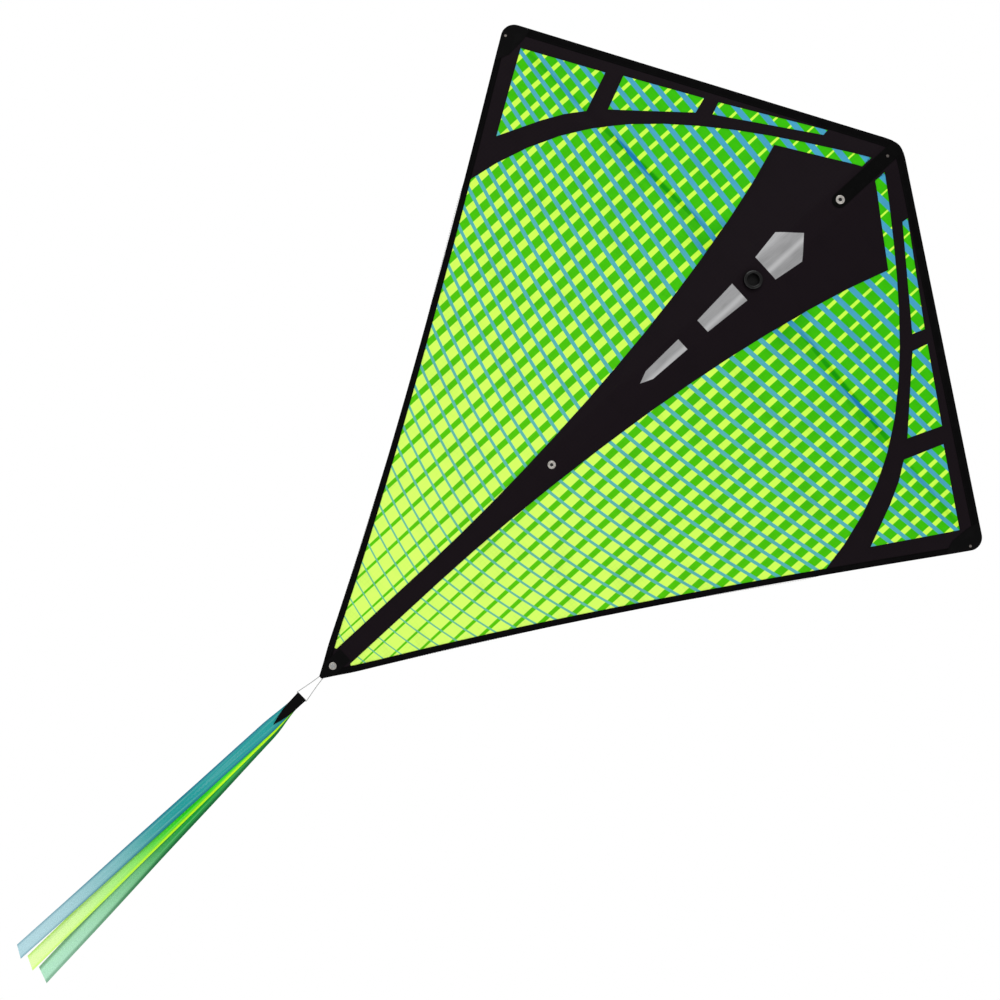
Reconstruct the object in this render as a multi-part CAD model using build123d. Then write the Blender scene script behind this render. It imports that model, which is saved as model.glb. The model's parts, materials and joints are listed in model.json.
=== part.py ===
from build123d import *
import os
from math import cos, hypot, radians, sin

# Single-line diamond kite with a three-ribbon tail. Millimetres.
# Origin: centre of the front ring, in the plane of the cloth. +Z runs along the spine to the nose,
# -Y is the printed front, +X is the right wing seen from the front.
# A wing is drawn flat, with X as the distance from the spine, then folded back by the dihedral.

# ---- sail outline ----
NOSE_Z = 268.0  # sharp corner of the two leading edges
NOSE_R = 20.0
EDGE_SLOPE = 0.535  # fall of the leading edge for each millimetre outwards
TIP_X, TIP_R = 476.0, 17.0
TAIL_Z, TAIL_HALF_W = -750.0, 2.0
HOLLOW_X, HOLLOW_Z = 206.0, -411.0  # a point on the hollow trailing edge
TRAILING_STEPS, CURVE_STEPS = 12, 12
DIHEDRAL_DEG = 12.0

# ---- cloth, tape and webbing ----
CLOTH_T, PLAID_T = 0.3, 0.24
STRIP_HALF_W = 9.6  # centre strip of the cloth, which stays flat
WING_START = 9.9
HUB_NOTCH_R = 14.5  # the wings' cloth keeps clear of the ring
SEAM = 5.0  # the plaid reaches this far behind the black cloth
EDGE_INSET, PLAID_INSET = 1.2, 1.8  # raw edges inside the hem and the binding
HEM_W, BINDING_W, TAPE_T, TAPE_BACK = 12.0, 7.0, 1.0, 0.2
SPLIT_Z = 4.0  # height of the wing's corner, where the hem hands over to the binding
WEBBING_T = 0.6
PATCH_T = 0.35

# ---- spine ----
SPINE_R, SPINE_Y = 3.0, 6.0
SPINE_TOP, SPINE_JOIN, SPINE_BOTTOM = 232.0, -240.0, -716.0
FERRULE_R, FERRULE_LEN = 4.0, 60.0
CAP_WALL, CAP_END, CAP_GRIP = 1.0, 2.0, 12.0

# ---- hub ----
PIVOT_X, PIVOT_Y = 14.0, 4.0  # hinge pins beside the spine
PIN_R, PIN_LEN, PIN_CLEARANCE = 1.5, 21.0, 0.05
HUB_HALF_W, HUB_HALF_H, HUB_FRONT, HUB_BACK = 9.5, 16.0, 1.4, 7.0
COLLAR_R = 5.6
LUG_R, LUG_IN, LUG_OUT = 3.3, 6.0, 10.0
RING_R, RING_BORE_R, RING_FRONT, RING_SEAT = 12.5, 8.0, 6.0, 0.4
STEM_R = 9.2

# ---- spreaders ----
SPREADER_R, SPREADER_Y, SPREADER_END = 2.5, 5.0, 449.0
BARREL_R, BARREL_START, BARREL_END, SOCKET_FLOOR = 4.0, 19.5, 50.0, 25.0
TIP_RIVET_X, TIP_RIVET_Z = 460.0, 0.0
TIP_POCKET_HALF_W, TIP_POCKET_INSET = 12.0, 0.8

# ---- fittings along the spine ----
STRAP_HALF_W, STRAP_T = 9.5, 1.0
STRAP_END_Z, STRAP_BACK_END_Z = 146.0, 204.0
NOSE_RIVET_Z = 243.0
RIVET_R, RIVET_HEAD_R, RIVET_DOME, RIVET_TAIL = 1.2, 2.0, 0.7, 0.4
UPPER_EYELET_Z, LOWER_EYELET_Z, TAIL_EYELET_Z = 157.0, -354.0, -729.0
EYELET_WALL, FLANGE_T, FLANGE_ROUND = 0.6, 0.6, 0.3
EYELET_HOLE_R, LOWER_HOLE_R = 2.4, 2.2
UPPER_FLANGE_R, LOWER_FLANGE_R, TAIL_FLANGE_R = 5.8, 5.2, 4.7
KEEPER_TOP, KEEPER_BOTTOM = -360.0, -384.0
TAIL_PATCH_TOP, TAIL_PATCH_T = -708.0, 0.5

# ---- tail ----
TAIL_LEAN_DEG = 2.0
CORD_R, CORD_Y = 0.5, 2.4
CORD_NECK_X, CORD_NECK_Z = 2.4, -753.0
KNOT_R, KNOT_Y, KNOT_LEG_X = 2.7, -2.6, 1.1  # the knot stops in the eyelet's mouth
HEADER_TOP_Z, HEADER_LEN, HEADER_HALF_W, HEADER_NECK_HALF_W = -782.0, 50.0, 7.0, 6.3
HEADER_TUBE_R, CORD_BORE_R, LEAF_IN, LEAF_T = 1.8, 0.59, 1.3, 0.5
CORD_FOOT_X, CORD_FOOT_Z = HEADER_HALF_W + 1.0, HEADER_TOP_Z - 1.6
RIBBON_ROOT_Z, RIBBON_ABOVE_ROOT, RIBBON_LEN = -793.0, 5.0, 462.0
RIBBON_TOP_HALF_W, RIBBON_FLARE_FROM, RIBBON_FLARE_TO = 6.1, 10.0, 45.0
RIBBON_T, RIBBON_STEP = 0.3, 0.8
RIBBONS = {  # layer from front to back, half width and fan angle
    "teal_streamer": (-1, 8.0, 2.6),
    "lime_streamer": (0, 8.0, 0.0),
    "green_streamer": (1, 8.4, -2.9),
}

HALF_T = CLOTH_T / 2


# ---- helpers ----
def stand(face, y_low, y_high):
    """Stands a face drawn in X and Z upright as a plate between two values of y."""
    plate = extrude(face, amount=y_high - y_low)
    return Location((0, y_high, 0)) * (Rotation(90, 0, 0) * plate)


def polygon(points):
    return make_face(Polyline(*[Vector(*point) for point in points], close=True))


def curve(*controls, steps=CURVE_STEPS):
    """Points along a Bezier curve, both ends included."""
    line = Bezier(*controls)
    found = [line.position_at(i / steps) for i in range(steps + 1)]
    return [(point.X, point.Y) for point in found]


def across(radius, y_low, y_high, x=0.0, z=0.0):
    """A round bar along Y."""
    bar = Rotation(90, 0, 0) * Cylinder(radius, y_high - y_low)
    return Location((x, (y_low + y_high) / 2, z)) * bar


def upright(radius, z_low, z_high, x=0.0, y=0.0):
    """A round bar along Z."""
    return Location((x, y, (z_low + z_high) / 2)) * Cylinder(radius, z_high - z_low)


def sideways(radius, x_low, x_high, y=0.0, z=0.0):
    """A round bar along X."""
    bar = Rotation(0, 90, 0) * Cylinder(radius, x_high - x_low)
    return Location(((x_low + x_high) / 2, y, z)) * bar


def block(x_low, x_high, y_low, y_high, z_low, z_high):
    centre = ((x_low + x_high) / 2, (y_low + y_high) / 2, (z_low + z_high) / 2)
    return Location(centre) * Box(x_high - x_low, y_high - y_low, z_high - z_low)


def band_section(centre_line, thickness):
    """The closed outline of a band of constant thickness along a line of 2-D points."""
    left, right = [], []
    last = len(centre_line) - 1
    for index, here in enumerate(centre_line):
        before = centre_line[max(index - 1, 0)]
        after = centre_line[min(index + 1, last)]
        run, rise = after[0] - before[0], after[1] - before[1]
        scale = thickness / 2 / hypot(run, rise)
        left.append((here[0] - rise * scale, here[1] + run * scale))
        right.append((here[0] + rise * scale, here[1] - run * scale))
    return left + right[::-1]


def band_along_x(centre_line, thickness, half_w):
    """A band as wide as 2 * half_w along X, whose line is given in Y and Z."""
    outline = [Vector(0, y, z) for y, z in band_section(centre_line, thickness)]
    strip = extrude(make_face(Polyline(*outline, close=True)), amount=2 * half_w, dir=(1, 0, 0))
    return Location((-half_w, 0, 0)) * strip


def band_along_z(centre_line, thickness, z_low, z_high):
    """A band between two heights, whose line is given in X and Y."""
    strip = extrude(polygon(band_section(centre_line, thickness)), amount=z_high - z_low)
    return Location((0, 0, z_low)) * strip


def eyelet(z, hole_r, flange_r, y_front, y_back):
    """A metal eyelet: a thin tube through the cloth with a rounded flange at each side."""
    tube = across(hole_r + EYELET_WALL, y_front, y_back, 0, z)
    front = across(flange_r, y_front - FLANGE_T, y_front, 0, z)
    back = across(flange_r, y_back, y_back + FLANGE_T, 0, z)
    body = tube + front + back - across(hole_r, y_front - 2, y_back + 2, 0, z)
    rims = body.edges().filter_by(GeomType.CIRCLE).group_by(Axis.Y)
    return fillet(rims[0] + rims[-1], FLANGE_ROUND)


def rivet(x, z, y_front, y_back):
    """A small rivet with a domed front head and a flat back head."""
    head = across(RIVET_HEAD_R, y_front - RIVET_DOME, y_front, x, z)
    head = fillet(head.edges().group_by(Axis.Y)[0], RIVET_DOME - 0.1)
    tail = across(RIVET_HEAD_R, y_back, y_back + RIVET_TAIL, x, z)
    return head + across(RIVET_R, y_front, y_back, x, z) + tail


def rod_cap(rod_r):
    """An upright cap over a rod that ends at z = 0."""
    cap = upright(rod_r + CAP_WALL, -CAP_GRIP, CAP_END)
    cap = fillet(cap.edges().group_by(Axis.Z)[-1], CAP_END * 0.6)
    return cap - upright(rod_r, -CAP_GRIP - 1, 0)


# ---- sail shapes, flat ----
def sail_face(inset=0.0):
    """Flat outline of the whole sail in X and Z, moved inwards by inset."""
    tip = Vector(TIP_X, NOSE_Z - EDGE_SLOPE * TIP_X)
    end = Vector(TAIL_HALF_W, TAIL_Z)
    trailing = ThreePointArc(tip, Vector(HOLLOW_X, HOLLOW_Z), end)
    right = [trailing.position_at(i / TRAILING_STEPS) for i in range(TRAILING_STEPS + 1)]
    left = [Vector(-point.X, point.Y) for point in reversed(right)]
    face = make_face(Polyline(Vector(0, NOSE_Z), *right, *left, close=True))
    tips = face.vertices().sort_by(Axis.X)
    face = fillet([tips[0], tips[-1]], TIP_R)
    face = fillet(face.vertices().sort_by(Axis.Y)[-1], NOSE_R)
    if inset:
        face = offset(face, amount=-inset, kind=Kind.INTERSECTION)
    return face


def main_window():
    """The large window: from a sliver at the nose round the arc band and down the centre panel."""
    arc = curve((12.4, 226.0), (231.2, 90.4), (326.4, -3.7), (351.0, -172.0))
    hollow = [(336.0, -198.5), (203.0, -406.0), (99.0, -580.0), (18.4, -713.7)]
    side = curve((12.4, -560.0), (12.4, -350.0), (46.0, -39.6), (111.0, 148.0))
    return polygon([*arc, *hollow, (12.4, -711.0), *side, (12.4, 208.6)])


def tip_window():
    """The outermost window, whose inner side follows the arc band."""
    inner = curve((312.2, 5.0), (346.1, -38.4), (359.0, -85.4), (368.9, -102.9), steps=4)
    return polygon([*inner, (434.1, 2.8), (333.2, 59.0)])


WINDOWS = {
    "main_window_panel": main_window(),
    "inner_window_panel": polygon([(77.4, 211.5), (76.4, 203.0), (195.7, 119.2), (202.2, 136.5)]),
    "middle_window_panel": polygon([(219.1, 126.9), (212.6, 105.3), (294.2, 26.2), (314.0, 72.8)]),
    "tip_window_panel": tip_window(),
}


# ---- root body ----
def spine_parts():
    """Two rods behind the sail, the tube that joins them and a cap on each end."""
    low, high = SPINE_JOIN - FERRULE_LEN / 2, SPINE_JOIN + FERRULE_LEN / 2
    ferrule = upright(FERRULE_R, low, high, 0, SPINE_Y)
    ferrule = chamfer(ferrule.edges().filter_by(GeomType.CIRCLE), 0.4)
    cap = rod_cap(SPINE_R)
    return {
        "upper_spine_rod": upright(SPINE_R, SPINE_JOIN, SPINE_TOP, 0, SPINE_Y),
        "lower_spine_rod": upright(SPINE_R, SPINE_BOTTOM, SPINE_JOIN, 0, SPINE_Y),
        "spine_ferrule": ferrule - upright(SPINE_R, low - 1, high + 1, 0, SPINE_Y),
        "nose_end_cap": Location((0, SPINE_Y, SPINE_TOP)) * cap,
        "tail_end_cap": Location((0, SPINE_Y, SPINE_BOTTOM)) * (Rotation(180, 0, 0) * cap),
    }


def hub_body():
    """The moulding behind the sail: it grips the spine and holds a pair of lugs for each arm."""
    hub = block(-HUB_HALF_W, HUB_HALF_W, HUB_FRONT, HUB_BACK, -HUB_HALF_H, HUB_HALF_H)
    hub = fillet(hub.edges().filter_by(Axis.Z), 1.2)
    collar = upright(COLLAR_R, -HUB_HALF_H, HUB_HALF_H, 0, SPINE_Y)
    hub += collar - block(-COLLAR_R, COLLAR_R, 0, HUB_FRONT, -HUB_HALF_H - 1, HUB_HALF_H + 1)
    for side in (-1, 1):
        near, far = sorted((side * (HUB_HALF_W - 1.5), side * PIVOT_X))
        for low in (LUG_IN, -LUG_OUT):
            high = low + LUG_OUT - LUG_IN
            hub += block(near, far, PIVOT_Y - LUG_R + 0.7, PIVOT_Y + LUG_R, low, high)
            hub += upright(LUG_R - 0.7, low, high, side * PIVOT_X, PIVOT_Y)
        hub -= upright(PIN_R, -LUG_OUT - 1, LUG_OUT + 1, side * PIVOT_X, PIVOT_Y)
    return hub - upright(SPINE_R, -HUB_HALF_H - 1, HUB_HALF_H + 1, 0, SPINE_Y)


def hub_front_ring():
    """The round ring in front of the sail, bored right through; its stem seats on the hub."""
    ring = fillet(across(RING_R, -RING_FRONT, -RING_SEAT).edges().group_by(Axis.Y)[0], 2.2)
    ring += across(STEM_R, -RING_SEAT, HUB_FRONT)
    ring -= across(RING_BORE_R, -RING_FRONT - 1, HUB_FRONT + 1)
    return fillet(ring.edges().filter_by(GeomType.CIRCLE).group_by(Axis.Y)[0], 1.2)


def hub_hinge_pins():
    """One pin for each socket arm."""
    height = PIN_LEN / 2
    pins = [upright(PIN_R, -height, height, side * PIVOT_X, PIVOT_Y) for side in (-1, 1)]
    return Compound(children=pins)


def centre_panel():
    zone = block(-STRIP_HALF_W, STRIP_HALF_W, -1, 1, -800, NOSE_Z)
    strip = stand(sail_face(EDGE_INSET), -HALF_T, HALF_T) & zone
    holes = {
        0.0: STEM_R,
        NOSE_RIVET_Z: RIVET_R,
        UPPER_EYELET_Z: EYELET_HOLE_R + EYELET_WALL,
        LOWER_EYELET_Z: LOWER_HOLE_R + EYELET_WALL,
        TAIL_EYELET_Z: EYELET_HOLE_R + EYELET_WALL,
    }
    for z, radius in holes.items():
        strip -= across(radius, -1, 1, 0, z)
    return strip


def nose_strap():
    """Webbing with a rounded front end, wrapped over the nose; its back leg holds the spine's cap."""
    front_y = -HALF_T - STRAP_T
    back_y = HALF_T + STRAP_T / 2
    pocket_y = SPINE_Y + SPINE_R + CAP_WALL + STRAP_T / 2 + 0.2
    line = [
        (back_y, NOSE_Z),
        (back_y, NOSE_RIVET_Z - 2.8),
        (pocket_y - 0.8, NOSE_RIVET_Z - 4.7),
        (pocket_y, NOSE_RIVET_Z - 11.0),
        (pocket_y, STRAP_BACK_END_Z),
    ]
    round_z = STRAP_END_Z + STRAP_HALF_W
    strap = block(-STRAP_HALF_W, STRAP_HALF_W, front_y, -HALF_T, round_z, NOSE_Z)
    strap += across(STRAP_HALF_W, front_y, -HALF_T, 0, round_z)
    strap += band_along_x(line, STRAP_T, STRAP_HALF_W)
    strap &= stand(sail_face(), -30, 30)
    rim = stand(sail_face() - sail_face(EDGE_INSET), front_y, HALF_T + STRAP_T)
    strap += rim & block(-STRAP_HALF_W, STRAP_HALF_W, -3, 3, NOSE_RIVET_Z, NOSE_Z)
    strap -= across(RIVET_R, -20, 20, 0, NOSE_RIVET_Z)
    return strap - across(EYELET_HOLE_R + EYELET_WALL, -4, 0, 0, UPPER_EYELET_Z)


def spine_keeper():
    """A webbing loop round the spine, sewn to the cloth at both sides of it."""
    sewn_y = HALF_T + WEBBING_T / 2
    reach = SPINE_R + 0.15 + WEBBING_T / 2
    turn = [radians(angle) for angle in range(200, -21, -20)]
    loop = [(reach * cos(angle), SPINE_Y + reach * sin(angle)) for angle in turn]
    line = [(-10.0, sewn_y), (-5.6, sewn_y), *loop, (5.6, sewn_y), (10.0, sewn_y)]
    return band_along_z(line, WEBBING_T, KEEPER_BOTTOM, KEEPER_TOP)


def tail_patch():
    zone = block(-STRIP_HALF_W, STRIP_HALF_W, -1, 1, -800, TAIL_PATCH_TOP)
    patch = stand(sail_face(), -HALF_T - TAIL_PATCH_T, -HALF_T) & zone
    return patch - across(EYELET_HOLE_R + EYELET_WALL, -4, 4, 0, TAIL_EYELET_Z)


def tail_pocket():
    """Webbing folded under the spine's lower cap and sewn to the cloth."""
    front_y = HALF_T + WEBBING_T / 2
    back_y = SPINE_Y + SPINE_R + CAP_WALL + WEBBING_T / 2 + 0.2
    line = [(front_y, -680.0), (front_y, -721.5), (back_y, -720.0), (back_y, -694.0)]
    return band_along_x(line, WEBBING_T, 8.0)


def root_parts():
    strap_front = -HALF_T - STRAP_T
    patch_front = -HALF_T - TAIL_PATCH_T
    return {
        **spine_parts(),
        "hub_body": hub_body(),
        "hub_front_ring": hub_front_ring(),
        "hub_hinge_pins": hub_hinge_pins(),
        "centre_panel": centre_panel(),
        "nose_strap": nose_strap(),
        "nose_rivet": rivet(0, NOSE_RIVET_Z, strap_front, HALF_T + STRAP_T),
        "upper_bridle_eyelet": eyelet(UPPER_EYELET_Z, EYELET_HOLE_R, UPPER_FLANGE_R, strap_front, HALF_T),
        "lower_bridle_eyelet": eyelet(LOWER_EYELET_Z, LOWER_HOLE_R, LOWER_FLANGE_R, -HALF_T, HALF_T),
        "spine_keeper": spine_keeper(),
        "tail_patch": tail_patch(),
        "tail_eyelet": eyelet(TAIL_EYELET_Z, EYELET_HOLE_R, TAIL_FLANGE_R, patch_front, HALF_T),
        "tail_pocket": tail_pocket(),
    }


# ---- one wing, drawn as the right wing laid flat ----
def beside_strip(start=WING_START):
    return block(start, 600, -3, 3, -800, 300)


def wing_cloth():
    """The black cloth with its four window openings."""
    cloth = stand(sail_face(EDGE_INSET), -HALF_T, HALF_T) & beside_strip()
    for window in WINDOWS.values():
        cloth -= stand(window, -1, 1)
    cloth -= across(HUB_NOTCH_R, -1, 1)
    return cloth - across(RIVET_R, -1, 1, TIP_RIVET_X, TIP_RIVET_Z)


def window_panel(window):
    """Plaid cloth sewn behind an opening, larger than it by the seam."""
    grown = offset(window, amount=SEAM, kind=Kind.INTERSECTION) & sail_face(PLAID_INSET)
    return stand(grown, HALF_T, HALF_T + PLAID_T) & beside_strip()


def edge_tape(width, z_low, z_high):
    """Tape folded round the raw edge, between two heights."""
    rim = stand(sail_face() - sail_face(width), -TAPE_T / 2, TAPE_T / 2 + TAPE_BACK)
    rim &= block(WING_START + 0.3, 600, -2, 2, z_low, z_high)
    rim -= stand(sail_face(EDGE_INSET), -HALF_T, HALF_T)
    rim -= stand(sail_face(PLAID_INSET), HALF_T, HALF_T + PLAID_T)
    return rim - across(RIVET_R, -3, 4, TIP_RIVET_X, TIP_RIVET_Z)


def tip_parts():
    """Patch in front, pocket behind for the spreader's cap, and the rivet through both."""
    front_y = TAPE_T / 2 + TAPE_BACK + WEBBING_T / 2
    back_y = SPREADER_Y + SPREADER_R + CAP_WALL + WEBBING_T / 2 + 0.2
    patch_y = -TAPE_T / 2 - PATCH_T
    zone = polygon([(446, 40), (440, 12), (438, -14), (452, -55), (520, -55), (520, 40)])
    hole = across(RIVET_R, -3, 4, TIP_RIVET_X, TIP_RIVET_Z)
    sewn = (-TIP_POCKET_HALF_W, TIP_POCKET_HALF_W)
    line = [
        (TIP_X, front_y + WEBBING_T),
        (459.5, front_y + WEBBING_T),
        (457.5, front_y + WEBBING_T),
        (452.5, back_y),
        (418.0, back_y),
    ]
    pocket = block(412, TIP_X, front_y - WEBBING_T / 2, front_y + WEBBING_T / 2, *sewn)
    pocket += band_along_z(line, WEBBING_T, *sewn)
    pocket &= stand(sail_face(TIP_POCKET_INSET), -3, 30)
    return {
        "tip_patch": stand(sail_face(0.4) & zone, patch_y, -TAPE_T / 2) - hole,
        "tip_pocket": pocket - hole,
        "tip_rivet": rivet(TIP_RIVET_X, TIP_RIVET_Z, patch_y, front_y + WEBBING_T * 1.5),
    }


def spreader_parts():
    """The rod behind the wing and the cap on its outer end."""
    cap = rod_cap(SPREADER_R)
    return {
        "spreader_rod": sideways(SPREADER_R, SOCKET_FLOOR, SPREADER_END, SPREADER_Y),
        "tip_cap": Location((SPREADER_END, SPREADER_Y, 0)) * (Rotation(0, 90, 0) * cap),
    }


def socket_arm():
    """Knuckle on the hinge pin with a barrel that takes the spreader."""
    height = LUG_IN - 0.1
    web = height - 2.0
    arm = upright(LUG_R, -height, height, PIVOT_X, PIVOT_Y)
    arm += block(PIVOT_X, BARREL_START + 3, PIVOT_Y - 2.4, PIVOT_Y + LUG_R, -web, web)
    barrel = sideways(BARREL_R, BARREL_START, BARREL_END, SPREADER_Y)
    arm += fillet(barrel.edges().filter_by(GeomType.CIRCLE), 0.8)
    arm -= sideways(SPREADER_R, SOCKET_FLOOR, BARREL_END + 1, SPREADER_Y)
    return arm - upright(PIN_R + PIN_CLEARANCE, -height - 1, height + 1, PIVOT_X, PIVOT_Y)


def wing_parts():
    return {
        "sail_frame_panel": wing_cloth(),
        **{name: window_panel(window) for name, window in WINDOWS.items()},
        "leading_edge_hem": edge_tape(HEM_W, SPLIT_Z, 300),
        "trailing_edge_binding": edge_tape(BINDING_W, -800, SPLIT_Z),
        **tip_parts(),
        **spreader_parts(),
        "socket_arm": socket_arm(),
    }


# ---- tail, drawn hanging straight down ----
def tail_cord():
    """A loop behind the cloth, knotted in the tail eyelet; its ends meet in the header's hem."""
    line = [
        (0.0, 0.0, CORD_FOOT_Z),
        (CORD_FOOT_X, 0.0, CORD_FOOT_Z),
        (CORD_NECK_X, CORD_Y, CORD_NECK_Z),
        (KNOT_LEG_X, CORD_Y, TAIL_EYELET_Z),
        (KNOT_LEG_X, KNOT_Y, TAIL_EYELET_Z),
    ]
    section = Plane(origin=line[0], z_dir=(1, 0, 0)) * Circle(CORD_R)
    leg = sweep(section, path=Polyline(*line), transition=Transition.RIGHT)
    knot = Location((0, KNOT_Y, TAIL_EYELET_Z)) * Sphere(KNOT_R)
    return leg + mirror(leg, Plane.YZ) + knot


def tail_header():
    """A folded tab: a hem tube round the cord and two leaves that hold the ribbons."""
    bore_half_w = HEADER_HALF_W + 1
    header = sideways(HEADER_TUBE_R, -HEADER_HALF_W, HEADER_HALF_W, 0, CORD_FOOT_Z)
    header -= sideways(CORD_BORE_R, -bore_half_w, bore_half_w, 0, CORD_FOOT_Z)
    shoulder_z, tip_z = HEADER_TOP_Z - 12, HEADER_TOP_Z - HEADER_LEN
    bulge = (HEADER_NECK_HALF_W - 0.4, shoulder_z - 20)
    side = curve((HEADER_NECK_HALF_W, shoulder_z), bulge, (0.6, tip_z + 8), (0, tip_z), steps=6)
    right = [(HEADER_HALF_W, CORD_FOOT_Z)] + side
    left = [(-x, z) for x, z in right[-2::-1]]
    for y_low in (-LEAF_IN - LEAF_T, LEAF_IN):
        leaf = stand(polygon(right + left), y_low, y_low + LEAF_T)
        header += leaf - sideways(CORD_BORE_R + 0.2, -bore_half_w, bore_half_w, 0, CORD_FOOT_Z)
    return header


def ribbon(layer, half_w, fan_deg):
    """One ribbon in its own layer, gathered at the top and fanned a little."""
    top_z = RIBBON_ROOT_Z + RIBBON_ABOVE_ROOT
    right = [
        (RIBBON_TOP_HALF_W, top_z),
        (RIBBON_TOP_HALF_W, RIBBON_ROOT_Z - RIBBON_FLARE_FROM),
        (half_w, RIBBON_ROOT_Z - RIBBON_FLARE_TO),
        (half_w, top_z - RIBBON_LEN),
    ]
    outline = right + [(-x, z) for x, z in right[::-1]]
    middle_y = layer * RIBBON_STEP
    flat = stand(polygon(outline), middle_y - RIBBON_T / 2, middle_y + RIBBON_T / 2)
    return flat.rotate(Axis((0, 0, RIBBON_ROOT_Z), (0, 1, 0)), fan_deg)


def tail_parts():
    parts = {"tail_cord": tail_cord(), "tail_header": tail_header()}
    for name, form in RIBBONS.items():
        parts[name] = ribbon(*form)
    lean = Axis((0, 0, TAIL_EYELET_Z), (0, 1, 0))
    return {name: solid.rotate(lean, -TAIL_LEAN_DEG) for name, solid in parts.items()}


def all_parts():
    parts = {**root_parts(), **tail_parts()}
    fold = Axis((PIVOT_X, PIVOT_Y, 0), (0, 0, 1))
    for name, solid in wing_parts().items():
        folded = solid.rotate(fold, DIHEDRAL_DEG)
        parts["right_" + name] = folded
        parts["left_" + name] = mirror(folded, Plane.YZ)
    return parts


# ---- write one file for each piece ----
os.makedirs("parts", exist_ok=True)
for name, solid in all_parts().items():
    export_step(solid, f"parts/{name}.step")
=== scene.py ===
import json
from math import ceil, cos, hypot, pi, radians, sin, tau

import bpy
import numpy as np
from mathutils import Matrix, Vector, kdtree
from mathutils.bvhtree import BVHTree
from mathutils.geometry import delaunay_2d_cdt


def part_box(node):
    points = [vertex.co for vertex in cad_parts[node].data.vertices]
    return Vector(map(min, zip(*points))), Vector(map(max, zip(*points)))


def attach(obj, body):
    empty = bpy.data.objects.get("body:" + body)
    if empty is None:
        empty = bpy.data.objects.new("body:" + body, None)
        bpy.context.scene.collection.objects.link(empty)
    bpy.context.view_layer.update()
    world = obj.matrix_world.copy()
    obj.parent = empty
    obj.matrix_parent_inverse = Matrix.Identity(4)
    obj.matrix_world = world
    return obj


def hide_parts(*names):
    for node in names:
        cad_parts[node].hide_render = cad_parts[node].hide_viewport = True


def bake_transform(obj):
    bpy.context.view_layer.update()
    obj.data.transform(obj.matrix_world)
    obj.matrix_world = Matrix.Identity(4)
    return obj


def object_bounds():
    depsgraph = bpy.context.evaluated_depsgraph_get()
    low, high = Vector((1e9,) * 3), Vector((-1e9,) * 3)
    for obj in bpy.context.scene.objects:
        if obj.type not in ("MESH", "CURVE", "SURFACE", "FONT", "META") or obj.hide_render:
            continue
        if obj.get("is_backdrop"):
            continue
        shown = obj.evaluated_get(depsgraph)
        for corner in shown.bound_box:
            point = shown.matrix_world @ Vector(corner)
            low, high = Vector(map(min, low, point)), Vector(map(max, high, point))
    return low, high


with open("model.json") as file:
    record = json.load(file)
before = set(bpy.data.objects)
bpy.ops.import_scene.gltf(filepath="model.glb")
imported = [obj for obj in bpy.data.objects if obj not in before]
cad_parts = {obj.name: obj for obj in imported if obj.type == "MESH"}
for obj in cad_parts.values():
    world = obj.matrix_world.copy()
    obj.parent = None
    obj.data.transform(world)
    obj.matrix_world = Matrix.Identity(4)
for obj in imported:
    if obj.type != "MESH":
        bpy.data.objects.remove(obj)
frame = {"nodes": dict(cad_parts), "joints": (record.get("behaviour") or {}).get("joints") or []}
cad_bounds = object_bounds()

# The sail is worked out flat: x is the distance from the spine (left wing negative), z the height.
# sail() puts a flat point, at some depth behind the middle of the cloth, on the draped and folded sail.
MM = 0.001
NODES = frame["nodes"]
JOINTS = {joint["name"]: joint for joint in frame["joints"]}
SIDES = {"left": -1, "right": 1}
PIVOT_X, PIVOT_Y = JOINTS["right_wing_fold"]["pos_m"][:2]
DIHEDRAL = radians(-JOINTS["right_wing_fold"]["range_deg"][0])
FOLD_START, FOLD_END = 8 * MM, 26 * MM  # the cloth bends between these distances from the spine
BEND_ZONE = 34 * MM  # triangles are small within this distance of the spine
RAW_EDGE_INSET = 1.2 * MM  # how far the CAD's cloth ends inside the finished edge


# ---- shapes read from the frame ----
def folded(x, y, angle):
    """Distance from the spine and depth after a turn about the right wing's hinge."""
    out, back = x - PIVOT_X, y - PIVOT_Y
    turned_x = PIVOT_X + out * np.cos(angle) - back * np.sin(angle)
    turned_y = PIVOT_Y + out * np.sin(angle) + back * np.cos(angle)
    return turned_x, turned_y


def unfolded(points, side):
    """A wing's points turned back into the plane of the flat sail, as a right wing."""
    x, y = folded(points[:, 0] * side, points[:, 1], -DIHEDRAL)
    return np.column_stack([x, y, points[:, 2]])


def middle_z(node):
    low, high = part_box(node)
    return (low.z + high.z) / 2


def chained(edges):
    """Closed loops of point numbers from boundary edges."""
    following = dict(edges)
    loops = []
    while following:
        start, here = following.popitem()
        loop = [start]
        while here != start:
            loop.append(here)
            here = following.pop(here)
        loops.append(loop)
    return loops


def front_outlines(name, side=0):
    """Outlines of a CAD plate's flat front face, longest first, as rows of x and z."""
    mesh = NODES[name].data
    points = np.array([vertex.co for vertex in mesh.vertices])
    if side:
        points = unfolded(points, side)
    mesh.calc_loop_triangles()
    triangles = np.array([triangle.vertices for triangle in mesh.loop_triangles])
    whole, merged = np.unique(np.round(points / MM * 100), axis=0, return_inverse=True)
    points = whole * MM / 100
    triangles = merged.reshape(-1)[triangles]
    a, b, c = (points[triangles[:, k]] for k in range(3))
    normals = np.cross(b - a, c - a)
    size = np.linalg.norm(normals, axis=1)
    flat = (size > 1e-12) & (np.abs(normals[:, 1]) > 0.999 * size)
    depth = (a + b + c)[:, 1] / 3
    front = triangles[flat & (depth < depth[flat].min() + 0.02 * MM)]
    edges = {(t[k], t[(k + 1) % 3]) for t in front.tolist() for k in range(3)}
    border = [(p, q) for p, q in edges if (q, p) not in edges]
    loops = [points[loop][:, [0, 2]] for loop in chained(sorted(border))]
    return sorted(loops, key=lambda loop: -np.ptp(loop[:, 1]))


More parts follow.
